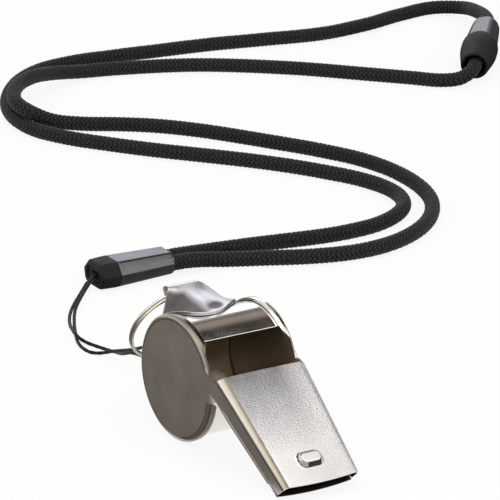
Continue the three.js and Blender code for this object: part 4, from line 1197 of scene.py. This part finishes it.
# Each card's name, place, the point it faces (none: it lies on the table), its size and its shades along it.
CARDS = (
    ("ceiling_card", (-0.205, 0.4, 0.54), (-0.205, 0, 0.54), (0.63, 0.52), (
        (0, (0.022, 0.02, 0.017)), (0.254, (0.022, 0.02, 0.017)), (0.46, (0.05, 0.045, 0.04)),
        (0.524, (0.15, 0.13, 0.11)), (0.651, (0.31, 0.27, 0.235)), (0.778, (0.33, 0.28, 0.25)),
        (0.905, (0.13, 0.115, 0.11)), (1, (0.45, 0.44, 0.48)),
    )),
    ("table_card", (-0.165, -0.18465, 0.0006), None, (0.3507, 0.39), (
        (0, (0.3, 0.272, 0.25)), (0.9, (0.285, 0.258, 0.238)),
        (0.96, (0.245, 0.222, 0.204)), (1, (0.23, 0.208, 0.192)),
    )),
    ("back_card", (-0.72, 0.42, 0.36), (0, 0, 0.01), (0.42, 0.28),
     ((0, (2.15, 2.2, 2.5)), (1, (2.25, 2.3, 2.6)))),
    ("far_card", (-0.25, 0.95, 0.16), (-0.25, 0, 0.16), (1.0, 0.5), DIM_SHADES),
    ("clasp_card", (-0.3, 0.32, 0.0006), None, (0.36, 0.34), DIM_SHADES),
    # A dim card under the sleeve: painted shadow that mirrors show at the sleeve's foot.
    ("sleeve_shadow_card", (-0.071, 0.026, 0.0004), None, (0.034, 0.014),
     ((0, (0.26, 0.27, 0.3)), (1, (0.3, 0.31, 0.34)))),
)


def seen_white(plain, share):
    """White to the camera and in mirrors by a share, and for the rest the plain lit surface."""
    path = add_node(plain, "LightPath")
    seen = path.outputs["Is Camera Ray"]
    for label in ("Is Glossy Ray", "Is Transmission Ray"):
        seen = add_node(plain, "Math", {0: seen, 1: path.outputs[label]}, operation="MAXIMUM").outputs[0]
    white = add_node(plain, "Emission", {"Color": (1, 1, 1), "Strength": 1}).outputs[0]
    return add_node(plain, "MixShader", {0: product(seen, share), 1: plain, 2: white}).outputs[0]


def facing(place, target):
    return (Vector(target) - Vector(place)).to_track_quat("-Z", "Y").to_euler()


def card_mesh(name, half_width, half_length):
    mesh = bpy.data.meshes.new(name)
    corners = [(x * half_width, y * half_length, 0) for x, y in ((-1, -1), (1, -1), (1, 1), (-1, 1))]
    mesh.from_pydata(corners, [], [(0, 1, 2, 3)])
    card = placed(name, mesh)
    card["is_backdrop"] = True
    return card


table = card_mesh("white_table", TABLE_HALF, TABLE_HALF)
finish, shader = new_finish("white_table")
set_inputs(shader, {"Base Color": (0.92, 0.92, 0.92), "Roughness": 0.9, "Specular IOR Level": 0})
set_inputs(finish.node_tree.nodes["Material Output"], {"Surface": seen_white(shader.outputs[0], TABLE_WHITE)})
table.data.materials.append(finish)
for name, place, target, (wide, tall), stops in CARDS:
    card = card_mesh(name, wide / 2, tall / 2)
    card.location = place
    card.rotation_euler.z = pi / 2
    if target:
        card.rotation_euler = facing(place, target)
    finish, shader = new_finish(name)
    spot = add_node(shader, "SeparateXYZ", {"Vector": own_place(shader)}).outputs["X"]
    shade = add_node(shader, "ValToRGB", {"Fac": ranged(spot, 0, 1, -wide / 2, wide / 2)})
    ramp = shade.color_ramp.elements
    while len(ramp) < len(stops):
        ramp.new(0.5)
    for element, (at, colour) in zip(ramp, stops):
        element.position, element.color = at, (*colour, 1)
    glow = add_node(shader, "Emission", {"Color": shade.outputs["Color"]})
    set_inputs(finish.node_tree.nodes["Material Output"], {"Surface": glow.outputs[0]})
    card.data.materials.append(finish)
    card.visible_camera = card.visible_diffuse = card.visible_shadow = card.visible_transmission = False
for name, place, target, (size_x, size_y), power, colour in LAMPS:
    lamp = bpy.data.lights.new(name, "AREA")
    lamp.shape = "RECTANGLE"
    lamp.size, lamp.size_y = size_x, size_y
    lamp.energy = power
    lamp.color = colour
    holder = placed(name, lamp)
    holder.location = place
    holder.rotation_euler = facing(place, target)
world = bpy.data.worlds.new("studio")
world.use_nodes = True
scene.world = world
plain = world.node_tree.nodes["Background"]
set_inputs(plain, {"Color": (1, 1, 1), "Strength": BACKDROP_LIGHT})
set_inputs(world.node_tree.nodes["World Output"], {"Surface": seen_white(plain.outputs[0], 1)})

# Sizes of the dressed model.
low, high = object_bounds()
